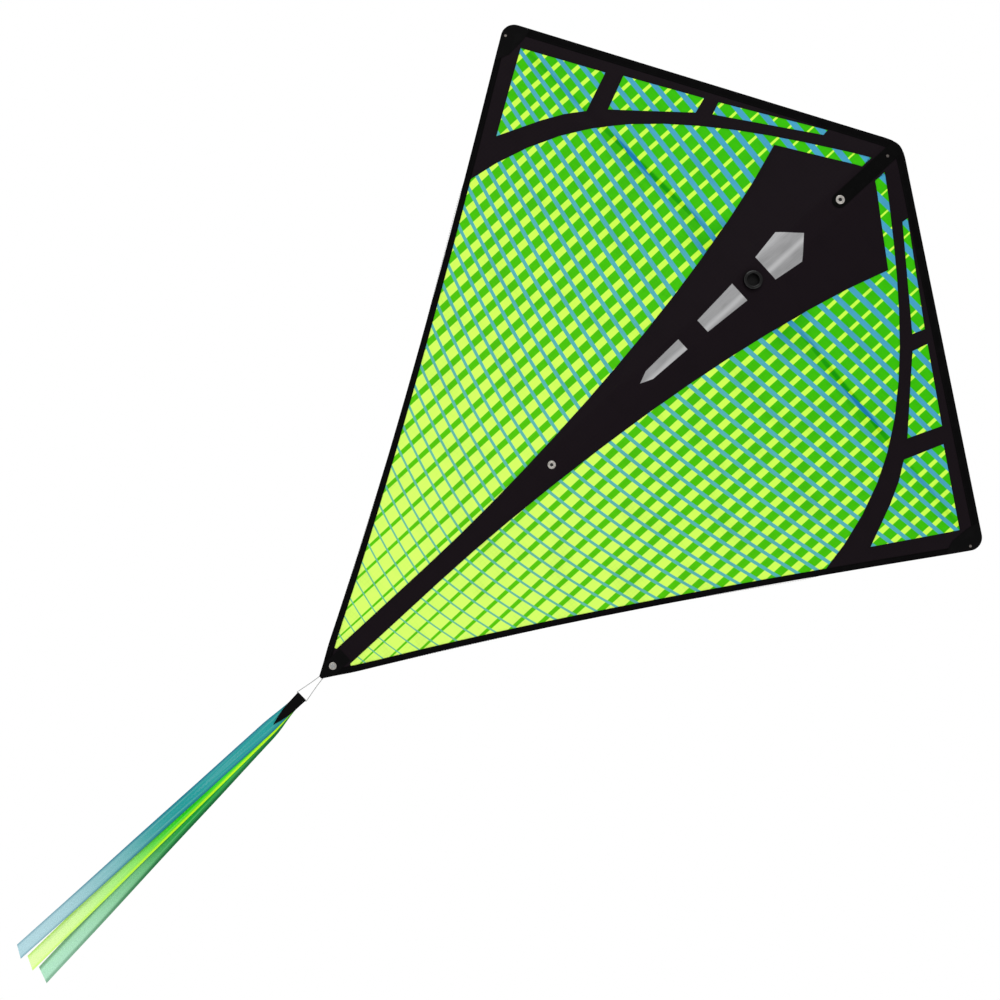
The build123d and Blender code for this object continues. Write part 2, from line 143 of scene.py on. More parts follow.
# ---- flat shapes ----
def smooth_step(t):
    """0 below 0, 1 above 1 and an even S between them."""
    t = np.clip(t, 0, 1)
    return t * t * (3 - 2 * t)


def finer(loop, step):
    """The same loop with points at most step apart; step may depend on the distance from the spine."""
    found = []
    for start, end in zip(loop, np.roll(loop, -1, axis=0)):
        limit = step(min(abs(start[0]), abs(end[0])))
        count = max(1, ceil(np.linalg.norm(end - start) / limit - 1e-6))
        found += [start + (end - start) * i / count for i in range(count)]
    return np.array(found)


def is_inside(points, loops):
    """Even-odd test of points against closed loops."""
    odd = np.zeros(len(points), bool)
    for loop in loops:
        for (x0, z0), (x1, z1) in zip(loop, np.roll(loop, -1, axis=0)):
            if z0 == z1:
                continue
            crosses = (z0 > points[:, 1]) != (z1 > points[:, 1])
            reach = x0 + (points[:, 1] - z0) / (z1 - z0) * (x1 - x0)
            odd ^= crosses & (points[:, 0] < reach)
    return odd


def hex_grid(low, high, step):
    """Points of equal triangles between two corners."""
    rows = np.arange(low[1], high[1] + step, step * 0.866)
    columns = np.arange(low[0], high[0] + step, step)
    x, z = np.meshgrid(columns, rows)
    x = x + (np.arange(len(rows)) % 2)[:, None] * step / 2
    return np.column_stack([x.ravel(), z.ravel()])


def cloth_step(x):
    """Size of the triangles: small where the cloth bends beside the spine."""
    return 4 * MM if x < BEND_ZONE else 7 * MM


def filled(loops, step=cloth_step, creases=()):
    """Points and triangles that cover the area between closed loops. Edges also follow the creases."""
    borders = [finer(loop, step) for loop in loops]
    lines = borders + [finer(crease, step) for crease in creases]
    rim = np.vstack(lines)
    tree = kdtree.KDTree(len(rim))
    for number, (x, z) in enumerate(rim):
        tree.insert((x, z, 0), number)
    tree.balance()
    sizes = sorted({step(0), step(1)})
    inner = []
    for size in sizes:
        grid = hex_grid(rim.min(0), rim.max(0), size)
        grid = grid[[step(abs(x)) == size for x in grid[:, 0]]]
        grid = grid[is_inside(grid, borders)]
        inner += [p for p in grid if tree.find((p[0], p[1], 0))[2] > size * 0.55]
    points = np.vstack([rim, np.array(inner).reshape(-1, 2)])
    edges, first = [], 0
    for line in lines:
        count = len(line)
        edges += [(first + i, first + (i + 1) % count) for i in range(count)]
        first += count
    found = delaunay_2d_cdt([Vector(p / MM) for p in points], edges, [], 0, 1e-4)
    points = np.array(found[0]) * MM
    triangles = np.array(found[2])
    middles = points[triangles].mean(axis=1)
    triangles = triangles[is_inside(middles, borders)]
    a, b, c = (points[triangles[:, k]] for k in range(3))
    turn = (b - a)[:, 0] * (c - a)[:, 1] - (b - a)[:, 1] * (c - a)[:, 0]
    triangles = triangles[np.abs(turn) > 1e-12]
    turn = turn[np.abs(turn) > 1e-12]
    triangles[turn < 0] = triangles[turn < 0][:, ::-1]
    used, triangles = np.unique(triangles, return_inverse=True)
    return points[used], triangles.reshape(-1, 3)


CLOTH_LOOPS = front_outlines("right_sail_frame_panel", 1)
SAIL_EDGE = CLOTH_LOOPS[0]


def edge_line():
    """The raw edge of the right wing from the nose, round the tip, to the tail."""
    loop = SAIL_EDGE
    start = int(np.argmax(loop[:, 1]))
    loop = np.roll(loop, -start, axis=0)
    if loop[1][0] < loop[-1][0]:
        loop = np.roll(loop[::-1], 1, axis=0)
    end = int(np.argmin(loop[:, 1]))
    return loop[: end + 1]


def nose_line():
    """The raw edge from the middle of the nose to the side of the centre strip."""
    top = STRIP_EDGE[STRIP_EDGE[:, 1] > STRIP_EDGE[:, 1].max() - 12 * MM]
    top = top[np.argsort(top[:, 0])]
    x = np.linspace(0, top[-1, 0], 9)
    return np.column_stack([x, np.interp(x, top[:, 0], top[:, 1])])


STRIP_EDGE = front_outlines("centre_panel")[0]
EDGE = edge_line()
NOSE_LINE = nose_line()
NOSE_Z = NOSE_LINE[0, 1]
TAIL = STRIP_EDGE[np.argmin(STRIP_EDGE[:, 1] - STRIP_EDGE[:, 0] * 0.01)]
HALF_SAIL = np.vstack([NOSE_LINE, EDGE, [TAIL]])


def edge_height(x, at_nose=True):
    """Height of the raw edge at a distance x from the spine, at the nose or at the tail."""
    line = HALF_SAIL[: len(NOSE_LINE) + 2] if at_nose else HALF_SAIL[:-3:-1]
    return np.interp(x, line[:, 0], line[:, 1])


# ---- the draped sail ----
FIELD_STEP = 6 * MM
FIELD_LOW = np.array([-486 * MM, -762 * MM])
FIELD_SHAPE = (163, 175)
MOST_BILLOW = 14 * MM
LAST_FRAME = 36  # of the cloth simulation


def drape_points():
    """The whole flat sail as a coarse mesh for the cloth solver."""
    outline = np.vstack([HALF_SAIL, (HALF_SAIL * (-1, 1))[:0:-1]])
    return filled([outline], step=lambda x: 9 * MM)


def held_points(points):
    """Where the sail is held: spine, rod line, leading edges, wing tips, nose and tail."""
    x, z = np.abs(points[:, 0]), points[:, 1]
    tip = points[np.argmax(points[:, 0])]
    slope = (NOSE_Z - tip[1]) / tip[0]
    from_edge = (NOSE_Z - slope * x - z) / hypot(1, slope)
    held = (x < 13 * MM) | (np.abs(z) < 5 * MM) | (from_edge < 14 * MM)
    held |= np.hypot(x - tip[0], z - tip[1]) < 48 * MM
    return held | (z < TAIL[1] + 40 * MM) | (np.hypot(x, z) < 40 * MM)


def simulated_drape(points, triangles):
    """How far each point moves when a light steady push fills the sail from the front."""
    mesh = bpy.data.meshes.new("drape")
    flat = np.column_stack([points[:, 0], np.zeros(len(points)), points[:, 1]])
    mesh.from_pydata(flat.tolist(), [], triangles.tolist())
    sheet = bpy.data.objects.new("drape", mesh)
    scene = bpy.context.scene
    scene.collection.objects.link(sheet)
    group = sheet.vertex_groups.new(name="held")
    group.add(np.nonzero(held_points(points))[0].tolist(), 1.0, "REPLACE")
    cloth = sheet.modifiers.new("cloth", "CLOTH")
    settings = cloth.settings
    settings.quality = 6
    settings.mass = 0.3
    settings.tension_stiffness = settings.compression_stiffness = 25
    settings.shear_stiffness = 12
    settings.bending_stiffness = 0.35
    settings.tension_damping = settings.compression_damping = 12
    settings.air_damping = 6
    settings.shrink_min = -0.0035
    settings.vertex_group_mass = "held"
    gravity = scene.gravity.copy()
    scene.gravity = (0, 3.0, 0)
    cloth.point_cache.frame_start, cloth.point_cache.frame_end = 1, LAST_FRAME
    for number in range(1, LAST_FRAME + 1):
        scene.frame_set(number)
    result = sheet.evaluated_get(bpy.context.evaluated_depsgraph_get()).data
    moved = np.array([vertex.co for vertex in result.vertices]) - flat
    scene.frame_set(1)
    scene.gravity = gravity
    bpy.data.objects.remove(sheet)
    return moved


def drape_field():
    """The sail's displacement on a square grid, smoothed."""
    points, triangles = drape_points()
    moved = simulated_drape(points, triangles)
    moved *= min(1.0, MOST_BILLOW / max(np.abs(moved[:, 1]).max(), 1e-9))
    flat = [Vector((x, 0, z)) for x, z in points]
    tree = BVHTree.FromPolygons(flat, triangles.tolist())
    field = np.zeros((*FIELD_SHAPE, 3))
    for i in range(FIELD_SHAPE[0]):
        for k in range(FIELD_SHAPE[1]):
            x, z = FIELD_LOW + FIELD_STEP * np.array([i, k])
            place, _, number, _ = tree.find_nearest((x, 0, z))
            a, b, c = triangles[number]
            field[i, k] = weighted(place, points[a], points[b], points[c], moved[[a, b, c]])
    for _ in range(2):
        for axis in (0, 1):
            padded = np.concatenate([field.take([0], axis), field, field.take([-1], axis)], axis)
            count = field.shape[axis]
            before = padded.take(range(count), axis)
            after = padded.take(range(2, count + 2), axis)
            field = (before + 2 * field + after) / 4
    return field


def weighted(place, a, b, c, values):
    """Value at a place inside a triangle from the values at its corners."""
    (ux, uz), (vx, vz) = b - a, c - a
    px, pz = place.x - a[0], place.z - a[1]
    area = ux * vz - uz * vx
    v = (px * vz - pz * vx) / area
    w = (ux * pz - uz * px) / area
    return values[0] * (1 - v - w) + values[1] * v + values[2] * w


def cubic_weights(t):
    """Catmull-Rom weights of four neighbours."""
    return np.array([
        -0.5 * t + t**2 - 0.5 * t**3,
        1 - 2.5 * t**2 + 1.5 * t**3,
        0.5 * t + 2 * t**2 - 1.5 * t**3,
        -0.5 * t**2 + 0.5 * t**3,
    ])


FIELD = drape_field()


def displacement(x, z):
    """How far the drape moves flat points; nothing moves close to the spine."""
    place = (np.column_stack([x, z]) - FIELD_LOW) / FIELD_STEP
    place = np.clip(place, 1, np.array(FIELD_SHAPE) - 3.001)
    cell = place.astype(int)
    across, along = cubic_weights(place[:, 0] - cell[:, 0]), cubic_weights(place[:, 1] - cell[:, 1])
    total = np.zeros((len(x), 3))
    for i in range(4):
        for k in range(4):
            part = FIELD[cell[:, 0] + i - 1, cell[:, 1] + k - 1]
            total += (across[i] * along[k])[:, None] * part
    return total * smooth_step((np.abs(x) - 9 * MM) / (14 * MM))[:, None]


def rod_ridge(x, z):
    """The cloth rests on the spreader behind it, and on the sockets beside the hub."""
    away = np.abs(x)
    span = smooth_step((away - 52 * MM) / (30 * MM)) * (1 - smooth_step((away - 395 * MM) / (40 * MM)))
    rod = 1.7 * MM * np.exp(-(z / (9 * MM)) ** 2) * span
    near = np.exp(-(((away - 33 * MM) / (12 * MM)) ** 2) - (z / (5 * MM)) ** 2)
    return rod - 0.5 * MM * near


def sail_middle(x, z):
    """Places of flat points on the folded sail, in the middle of the cloth."""
    moved = displacement(x, z)
    flat_x = np.abs(x + moved[:, 0])
    y = moved[:, 1] + rod_ridge(x, z)
    angle = DIHEDRAL * smooth_step((np.abs(x) - FOLD_START) / (FOLD_END - FOLD_START))
    folded_x, folded_y = folded(flat_x, y, angle)
    return np.column_stack([folded_x * np.where(x < 0, -1, 1), folded_y, z + moved[:, 2]])


def backward_normals(up, outwards):
    """Unit normals of a surface from steps taken on it."""
    normals = np.cross(up, outwards)
    return normals / np.linalg.norm(normals, axis=1)[:, None]


def sail(points, depth):
    """Places at a depth behind the middle of the cloth."""
    x, z = points[:, 0], points[:, 1]
    small = 0.5 * MM
    outwards = sail_middle(x + small, z) - sail_middle(x - small, z)
    outwards[np.abs(x) < small] = (1, 0, 0)
    up = sail_middle(x, z + small) - sail_middle(x, z - small)
    return sail_middle(x, z) + backward_normals(up, outwards) * np.reshape(depth, (-1, 1))


# ---- mesh building ----
def made(name, vertices, faces, uv, materials, slots=None):
    """A mesh object. uv has one row for each vertex, in metres of cloth."""
    mesh = bpy.data.meshes.new(name)
    mesh.from_pydata(np.asarray(vertices).tolist(), [], [list(map(int, face)) for face in faces])
    layer = mesh.uv_layers.new(name="flat")
    corners = np.empty(len(mesh.loops), int)
    mesh.loops.foreach_get("vertex_index", corners)
    layer.data.foreach_set("uv", np.asarray(uv, float)[corners].astype(np.float32).ravel())
    mesh.polygons.foreach_set("use_smooth", [True] * len(mesh.polygons))
    for material in materials:
        mesh.materials.append(material)
    if slots is not None:
        mesh.polygons.foreach_set("material_index", [int(slot) for slot in slots])
    mesh.set_sharp_from_angle(angle=radians(35))
    mesh.update()
    piece = bpy.data.objects.new(name, mesh)
    bpy.context.scene.collection.objects.link(piece)
    return piece


def shell(name, points, triangles, place, front, back, materials, regions=None):
    """A closed sheet between two depths, over flat points and triangles."""
    count = len(points)
    vertices = np.vstack([place(points, front), place(points, back)])
    edges = {(t[k], t[(k + 1) % 3]) for t in triangles.tolist() for k in range(3)}
    rims = [(p, p + count, q + count, q) for p, q in sorted(edges) if (q, p) not in edges]
    faces = [*triangles, *(triangles[:, ::-1] + count), *rims]
    slots = None
    if regions is not None:
        slots = [*regions, *regions, *([0] * len(rims))]
    uv = np.vstack([np.abs(points) * (1, 0) + points * (0, 1)] * 2)
    return made(name, vertices, faces, uv, materials, slots)


def skin_faces(stations, around, looped=False):
    """Faces of a skin through rings of points, closed at its ends unless it is looped."""
    faces = []
    for i in range(stations if looped else stations - 1):
        low, high = i * around, (i + 1) % stations * around
        for k in range(around):
            after = (k + 1) % around
            faces.append((low + k, high + k, high + after, low + after))
    if not looped:
        faces.append(range(around))
        faces.append(range(stations * around - 1, (stations - 1) * around - 1, -1))
    return faces


def skin(rings, uv_along, looped=False):
    """Vertices, faces and uv of a closed skin through rings of equal point counts."""
    rings = np.asarray(rings)
    stations, around = rings.shape[:2]
    turn = np.concatenate([[0], np.cumsum(np.linalg.norm(np.diff(rings[0], axis=0), axis=1))])
    uv = [(turn[k], uv_along[i]) for i in range(stations) for k in range(around)]
    return rings.reshape(-1, 3), skin_faces(stations, around, looped), uv


def joined(name, parts, materials):
    """One mesh from several sets of vertices, faces and uv."""
    vertices, faces, uv, first = [], [], [], 0
    for part_vertices, part_faces, part_uv in parts:
        vertices.append(part_vertices)
        uv.append(part_uv)
        faces += [[index + first for index in face] for face in part_faces]
        first += len(part_vertices)
    return made(name, np.vstack(vertices), faces, np.vstack(uv), materials)


def settle(piece, node=None, body=None):
    """Hides the CAD solid that a piece replaces and hangs the piece on the body that carries it."""
    if node:
        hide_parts(node)
    if body:
        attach(piece, body)


def bends(piece, side_name):
    """Bakes a piece's transform into its mesh."""
    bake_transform(piece)


# ---- materials ----
def paint(red, green, blue):
    """A colour given in screen values 0-255, as the linear values a shader takes."""
    linear = [((v / 255 + 0.055) / 1.055) ** 2.4 if v > 10 else v / 255 / 12.92 for v in (red, green, blue)]
    return (*linear, 1.0)


class Look:
    """A procedural material. Its methods add nodes and return their outputs."""

    def __init__(self, name, on_cloth=True, roughness=0.7, **settings):
        self.material = bpy.data.materials.new(name)
        self.material.use_nodes = True
        self.tree = self.material.node_tree
        self.shader = self.tree.nodes["Principled BSDF"]
        if on_cloth:
            source = self.tree.nodes.new("ShaderNodeUVMap")
            source.uv_map = "flat"
            coordinates = source.outputs["UV"]
        else:
            coordinates = self.tree.nodes.new("ShaderNodeTexCoord").outputs["Object"]
        scale = self.tree.nodes.new("ShaderNodeVectorMath")
        scale.operation = "SCALE"
        scale.inputs["Scale"].default_value = 1 / MM
        self.tree.links.new(coordinates, scale.inputs[0])
        self.place = scale.outputs[0]
        parts = self.tree.nodes.new("ShaderNodeSeparateXYZ")
        self.tree.links.new(self.place, parts.inputs[0])
        self.x, self.y, self.z = parts.outputs
        self.set("Roughness", roughness)
        for socket, value in settings.items():
            self.set(socket.replace("_", " "), value)

    def feed(self, socket, value):
        if isinstance(value, bpy.types.NodeSocket):
            self.tree.links.new(value, socket)
        else:
            socket.default_value = value

    def set(self, socket, value):
        self.feed(self.shader.inputs[socket], value)

    def math(self, operation, *values):
        node = self.tree.nodes.new("ShaderNodeMath")
        node.operation = operation
        for socket, value in zip(node.inputs, values):
            self.feed(socket, value)
        return node.outputs[0]

    def add(self, *values):
        total = values[0]
        for value in values[1:]:
            total = self.math("ADD", total, value)
        return total

    def times(self, *values):
        total = values[0]
        for value in values[1:]:
            total = self.math("MULTIPLY", total, value)
        return total

    def ramp(self, value, low, high, start=0.0, end=1.0):
        """Maps low..high to start..end smoothly; low and high may be sockets."""
        node = self.tree.nodes.new("ShaderNodeMapRange")
        node.interpolation_type = "SMOOTHSTEP"
        names = ("Value", "From Min", "From Max", "To Min", "To Max")
        for name, given in zip(names, (value, low, high, start, end)):
            self.feed(node.inputs[name], given)
        return node.outputs[0]

    def mix(self, share, first, second):
        node = self.tree.nodes.new("ShaderNodeMix")
        node.data_type = "RGBA"
        self.feed(node.inputs["Factor"], share)
        self.feed(node.inputs[6], first)
        self.feed(node.inputs[7], second)
        return node.outputs[2]

    def noise(self, scale, detail=2.0, stretch=None):
        """Noise with about this many cells for each millimetre."""
        node = self.tree.nodes.new("ShaderNodeTexNoise")
        node.inputs["Scale"].default_value = scale
        node.inputs["Detail"].default_value = detail
        place = self.place
        if stretch:
            warp = self.tree.nodes.new("ShaderNodeVectorMath")
            warp.operation = "MULTIPLY"
            self.tree.links.new(place, warp.inputs[0])
            warp.inputs[1].default_value = stretch
            place = warp.outputs[0]
        self.tree.links.new(place, node.inputs["Vector"])
        return node.outputs["Fac"]

    def wave(self, value, pitch):
        """A sine along value, from 0 to 1."""
        turned = self.math("SINE", self.times(value, tau / pitch))
        return self.math("MULTIPLY_ADD", turned, 0.5, 0.5)

    def lines(self, value, pitch, half_width):
        """1 on thin lines at each pitch, 0 between them."""
        across = self.math("PINGPONG", value, pitch / 2)
        return self.ramp(across, half_width + 0.1, half_width - 0.1)

    def bump(self, height, distance, strength=1.0):
        node = self.tree.nodes.new("ShaderNodeBump")
        node.inputs["Strength"].default_value = strength
        node.inputs["Distance"].default_value = distance
        self.feed(node.inputs["Height"], height)
        self.tree.links.new(node.outputs[0], self.shader.inputs["Normal"])

    def ripstop(self, base, thread_shade, wrinkle=0.5):
        """Fine plain weave with heavier threads every 5 mm, over soft crumples, with soft bands of painted
        fold shade.
        """
        weave = self.times(self.wave(self.x, 0.55), self.wave(self.y, 0.55))
        grid = self.math("MAXIMUM", self.lines(self.x, 5.0, 0.28), self.lines(self.y, 5.0, 0.28))
        crumple = self.noise(0.035, 3.0)
        height = self.add(self.times(weave, 0.10), self.times(grid, 0.22), self.times(crumple, wrinkle * 6))
        self.bump(height, 0.30 * MM, 0.6)
        # Painted shade: soft lighter and darker bands stand for the light and shade on soft folds in the
        # cloth.
        fold_shade = self.ramp(self.noise(0.014, 3.0, (1.0, 2.0, 1.0)), 0.3, 0.7, -0.08, 0.08)
        darker = self.add(self.times(grid, thread_shade), self.times(weave, 0.05), fold_shade)
        self.set("Base Color", self.mix(self.math("ABSOLUTE", darker), base, (0, 0, 0, 1)))


# The _SHADED colours are copies of the print in painted shadow.
LIME_TOP, LIME_LOW, LIME_SHADED = paint(198, 248, 72), paint(211, 252, 104), paint(172, 216, 10)
GREEN_TOP, GREEN_LOW, GREEN_SHADED = paint(52, 182, 0), paint(84, 194, 0), paint(0, 138, 0)
BLUE_TOP, BLUE_MID, BLUE_LOW = paint(66, 154, 188), paint(82, 172, 174), paint(104, 188, 148)
BLUE_SHADED = paint(0, 106, 166)


# The printed pattern, in millimetres.
COLUMN_PITCH, FIRST_COLUMN = 20.75, 10.6
ROW_SLOPE, ROW_SPREAD = 0.157, 1.3e-6
ROW_PITCH, PITCH_GROWTH = 22.0, 0.0061  # spacing of the rows at the hub, and its growth with height
ZERO_ROW_PITCH = 21.947  # where the middle of a row meets the spine


def plaid_look(name):
    """Lime columns on green, with blue rows that rise outwards over both."""
    look = Look(name, roughness=0.6, Specular_IOR_Level=0.06)
    s, z = look.x, look.y
    # Columns are wider towards the tail.
    column = look.math("PINGPONG", look.add(s, -FIRST_COLUMN), COLUMN_PITCH / 2)
    half_width = look.math("MAXIMUM", look.math("MULTIPLY_ADD", z, -0.0092, 3.0), 1.0)
    half_width = look.math("MINIMUM", half_width, 9.9)
    lime = look.ramp(look.math("SUBTRACT", column, half_width), 0.35, -0.35)
    down = look.ramp(z, 150.0, -650.0)
    green_shade = look.mix(down, GREEN_TOP, GREEN_LOW)
    lime_shade = look.mix(down, LIME_TOP, LIME_LOW)
    # Rows: foot is the height where a row would meet the spine, rank its number.
    spread = look.times(look.math("POWER", s, 2.0), ROW_SPREAD)
    stretch = look.math("EXPONENT", spread)
    rise = look.times(s, look.math("MULTIPLY_ADD", spread, ROW_SLOPE / 3, ROW_SLOPE))
    foot = look.math("SUBTRACT", look.times(z, stretch), rise)
    pitch = look.math("MULTIPLY_ADD", foot, PITCH_GROWTH, ROW_PITCH)
    growth = look.math("LOGARITHM", look.times(pitch, 1 / ZERO_ROW_PITCH), 2.718282)
    rank = look.times(growth, 1 / PITCH_GROWTH)
    off_row = look.times(look.math("PINGPONG", rank, 0.5), pitch)
    row_half = look.math("MAXIMUM", look.math("MULTIPLY_ADD", z, 0.004, 3.45), 0.8)
    row = look.ramp(look.math("SUBTRACT", off_row, row_half), 0.35, -0.35)
    blue_shade = look.mix(look.ramp(z, 150.0, -200.0), BLUE_TOP, BLUE_MID)
    blue_shade = look.mix(look.ramp(z, -200.0, -650.0), blue_shade, BLUE_LOW)
    print_shade = look.mix(row, look.mix(lime, green_shade, lime_shade), blue_shade)
    print_in_painted_shadow = look.mix(row, look.mix(lime, GREEN_SHADED, LIME_SHADED), BLUE_SHADED)
    # Painted shadow of the rod behind the cloth, mostly just above its line and away from the hub. The same
    # painted shade darkens the print near the hub, beside the centre panel.
    above = look.ramp(look.math("ABSOLUTE", look.add(z, -5.0)), 5.0, 1.5)
    below = look.ramp(look.math("ABSOLUTE", look.add(z, 2.5)), 7.0, 1.0, 0.0, 0.35)
    along = look.times(look.ramp(s, 70.0, 170.0, 0.35, 0.9), look.ramp(s, 330.0, 240.0, 0.4, 1.0))
    near_hub = look.ramp(look.math("ABSOLUTE", z), 45.0, 10.0, 0.0, 0.7)
    near_panel = look.times(look.ramp(s, 110.0, 55.0), near_hub)
    rod = look.math("MAXIMUM", look.times(look.math("MAXIMUM", above, below), along), near_panel)
    look.ripstop(look.mix(rod, print_shade, print_in_painted_shadow), 0.05)
    return look.material


def black_cloth_look(name):
    look = Look(name, roughness=0.6, Specular_IOR_Level=0.05)
    look.ripstop(paint(18, 11, 16), 0.15, 0.6)
    return look.material


def silver_look(name):
    """Silver film with a faint brushed grain along the spine, a painted highlight as a bright streak beside
    the spine, and soft creases.
    """
    look = Look(name, on_cloth=False, roughness=0.45, Metallic=0.3)
    grain = look.noise(0.4, 3.0, (3.0, 1.0, 0.12))
    cloud = look.ramp(look.noise(0.04, 3.0, (2.0, 1.0, 0.6)), 0.35, 0.65)
    # Painted highlight: a bright streak along the film, 5.5 mm right of the spine line.
    streak = look.ramp(look.math("ABSOLUTE", look.add(look.x, -5.5)), 6.0, 0.0)
    shade = look.mix(grain, paint(118, 118, 119), paint(150, 150, 151))
    shade = look.mix(look.times(cloud, 0.25), shade, paint(170, 170, 171))
    look.set("Base Color", look.mix(look.times(streak, 0.5), shade, paint(196, 196, 197)))
    look.bump(look.add(look.noise(0.06, 3.0), look.times(grain, 0.1)), 0.4 * MM, 0.4)
    return look.material


def twill_look(name, shade, light, pitch, roughness=0.75):
    """A diagonal weave of thick yarn, for webbing, binding and patches."""
    look = Look(name, roughness=roughness, Specular_IOR_Level=0.03)
    diagonal = look.wave(look.add(look.x, look.y), pitch * 1.6)
    ribs = look.wave(look.y, pitch)
    height = look.add(look.times(diagonal, 0.6), look.times(ribs, 0.4))
    fluff = look.noise(1.2, 3.0)
    worn = look.ramp(look.noise(0.06, 4.0), 0.45, 0.75)
    base = look.mix(look.times(height, 0.7), shade, light)
    look.set("Base Color", look.mix(look.times(worn, 0.06), base, paint(36, 35, 36)))
    look.bump(look.add(height, look.times(fluff, 0.3)), 0.22 * MM, 0.8)
    return look.material


def carbon_look(name):
    look = Look(name, on_cloth=False, roughness=0.3, Coat_Weight=0.4, Coat_Roughness=0.15)
    grain = look.noise(0.8, 3.0, (0.02, 1.0, 1.0))
    speck = look.ramp(look.noise(3.0, 2.0), 0.55, 0.8)
    shade = look.mix(grain, paint(18, 18, 20), paint(44, 44, 48))
    look.set("Base Color", look.mix(look.times(speck, 0.25), shade, paint(80, 80, 84)))
    look.bump(grain, 0.05 * MM, 0.5)
    return look.material


def metal_look(name, dark, light, roughness, brushed=(1.0, 1.0, 0.1)):
    look = Look(name, on_cloth=False, Metallic=1.0)
    grain = look.noise(2.5, 4.0, brushed)
    stain = look.ramp(look.noise(0.25, 3.0), 0.4, 0.7)
    look.set("Base Color", look.mix(look.times(stain, 0.6), light, dark))
    look.set("Roughness", look.ramp(grain, 0.2, 0.8, roughness * 0.7, roughness * 1.4))
    look.bump(grain, 0.04 * MM, 0.5)
    return look.material


def moulded_look(name, shade, roughness, grain_depth, shine):
    look = Look(name, on_cloth=False, Specular_IOR_Level=shine)
    grain = look.noise(2.2, 3.0)
    scuff = look.ramp(look.noise(0.35, 4.0, (1.0, 1.0, 0.4)), 0.55, 0.8)
    look.set("Base Color", look.mix(look.times(scuff, 0.1), shade, paint(60, 60, 63)))
    look.set("Roughness", look.ramp(grain, 0.2, 0.8, roughness * 0.85, roughness * 1.25))
    look.bump(grain, grain_depth, 0.6)
    return look.material


def cord_look(name):
    look = Look(name, roughness=0.8, Sheen_Weight=0.1)
    ply = look.wave(look.add(look.times(look.x, 1.4), look.y), 1.1)
    fluff = look.noise(3.0, 3.0)
    shade = look.add(look.times(ply, 0.6), look.times(fluff, 0.4))
    look.set("Base Color", look.mix(shade, paint(96, 98, 100), paint(190, 192, 190)))
    look.bump(look.add(ply, look.times(fluff, 0.4)), 0.15 * MM, 0.8)
    return look.material


def ribbon_look(name, top, low, rim, half_width):
    """Thin nylon: paler towards its end, with a hot-cut edge and soft streaks along its length."""
    look = Look(name, roughness=0.5, Specular_IOR_Level=0.15, Sheen_Weight=0.05)
    shade = look.mix(look.ramp(look.y, 190.0, 440.0), top, low)
    streak = look.ramp(look.noise(0.25, 2.0, (2.0, 0.03, 1.0)), 0.38, 0.66)
    shade = look.mix(look.times(streak, 0.15), shade, low)
    border = look.ramp(look.x, half_width * 0.55, half_width * 0.98)
    shade = look.mix(look.times(border, look.ramp(look.y, 460.0, 200.0, 0.45, 0.9)), shade, rim)
    weave = look.times(look.wave(look.x, 0.5), look.wave(look.y, 0.5))
    look.set("Base Color", look.mix(look.times(weave, 0.06), shade, (0, 0, 0, 1)))
    look.bump(look.add(look.times(weave, 0.2), look.times(streak, 1.2)), 0.3 * MM, 0.6)
    return look.material


def thread_look(name):
    look = Look(name, roughness=0.7, Specular_IOR_Level=0.05)
    twist = look.wave(look.add(look.x, look.y), 0.4)
    look.set("Base Color", look.mix(twist, paint(6, 6, 6), paint(20, 19, 21)))
    look.bump(twist, 0.05 * MM, 0.5)
    return look.material


LOOK_FORMS = [
    ("plaid_cloth", plaid_look),
    ("black_cloth", black_cloth_look),
    ("silver_film", silver_look),
    ("black_hem", twill_look, paint(2, 2, 2), paint(12, 11, 12), 0.7),
    ("black_patch", twill_look, paint(3, 3, 3), paint(16, 15, 16), 1.0, 0.6),
    ("black_webbing", twill_look, paint(1, 1, 1), paint(14, 14, 14), 1.3),
    ("carbon_rod", carbon_look),
    ("ferrule_metal", metal_look, paint(140, 142, 146), paint(200, 202, 206), 0.32),
    ("black_moulding", moulded_look, paint(6, 6, 6), 0.5, 0.12 * MM, 0.12),
    ("gloss_ring", moulded_look, paint(2, 2, 2), 0.16, 0.02 * MM, 0.3),
    ("pin_steel", metal_look, paint(120, 120, 122), paint(188, 188, 190), 0.25),
    ("nickel", metal_look, paint(118, 112, 106), paint(200, 196, 190), 0.3, (1.0, 1.0, 1.0)),
    ("worn_rivet", metal_look, paint(66, 62, 60), paint(104, 98, 94), 0.45, (1.0, 1.0, 1.0)),
    ("grey_cord", cord_look),
    ("teal_ribbon", ribbon_look, paint(24, 150, 148), paint(176, 212, 220), paint(0, 104, 134), 8.0),
    ("lime_ribbon", ribbon_look, paint(20, 205, 0), paint(226, 255, 170), paint(196, 250, 0), 8.0),
    ("green_ribbon", ribbon_look, paint(0, 154, 48), paint(176, 226, 196), paint(0, 92, 46), 8.4),
    ("thread", thread_look),
]
LOOKS = {name: look(name, *form) for name, look, *form in LOOK_FORMS}


def dress_kept_nodes():
    """Gives the hard CAD parts, which stay as they are, their materials."""
    for name, node in NODES.items():
        for slot in node.material_slots:
            look_name = "worn_rivet" if name.endswith("rivet") else slot.material.name.split(".")[0]
            slot.material = LOOKS[look_name]


# ---- the sail's cloth ----
SEAM_X = FOLD_START  # the centre strip and the wings' cloth meet here
STEM_HOLE_R = 9.6 * MM
CLOTH_FRONT = -0.15 * MM
SILVER_MARKS = [
    [(0, 92), (-25, 65.5), (-18.7, 23), (18.7, 23), (25, 65.5)],
    [(-14.2, -23), (-9.9, -89), (9.9, -89), (14.2, -23)],
    [(-8.7, -124), (-6.8, -183), (0, -199.5), (6.8, -183), (8.7, -124)],
]
MARK_LOOPS = [np.array(mark) * MM for mark in SILVER_MARKS]


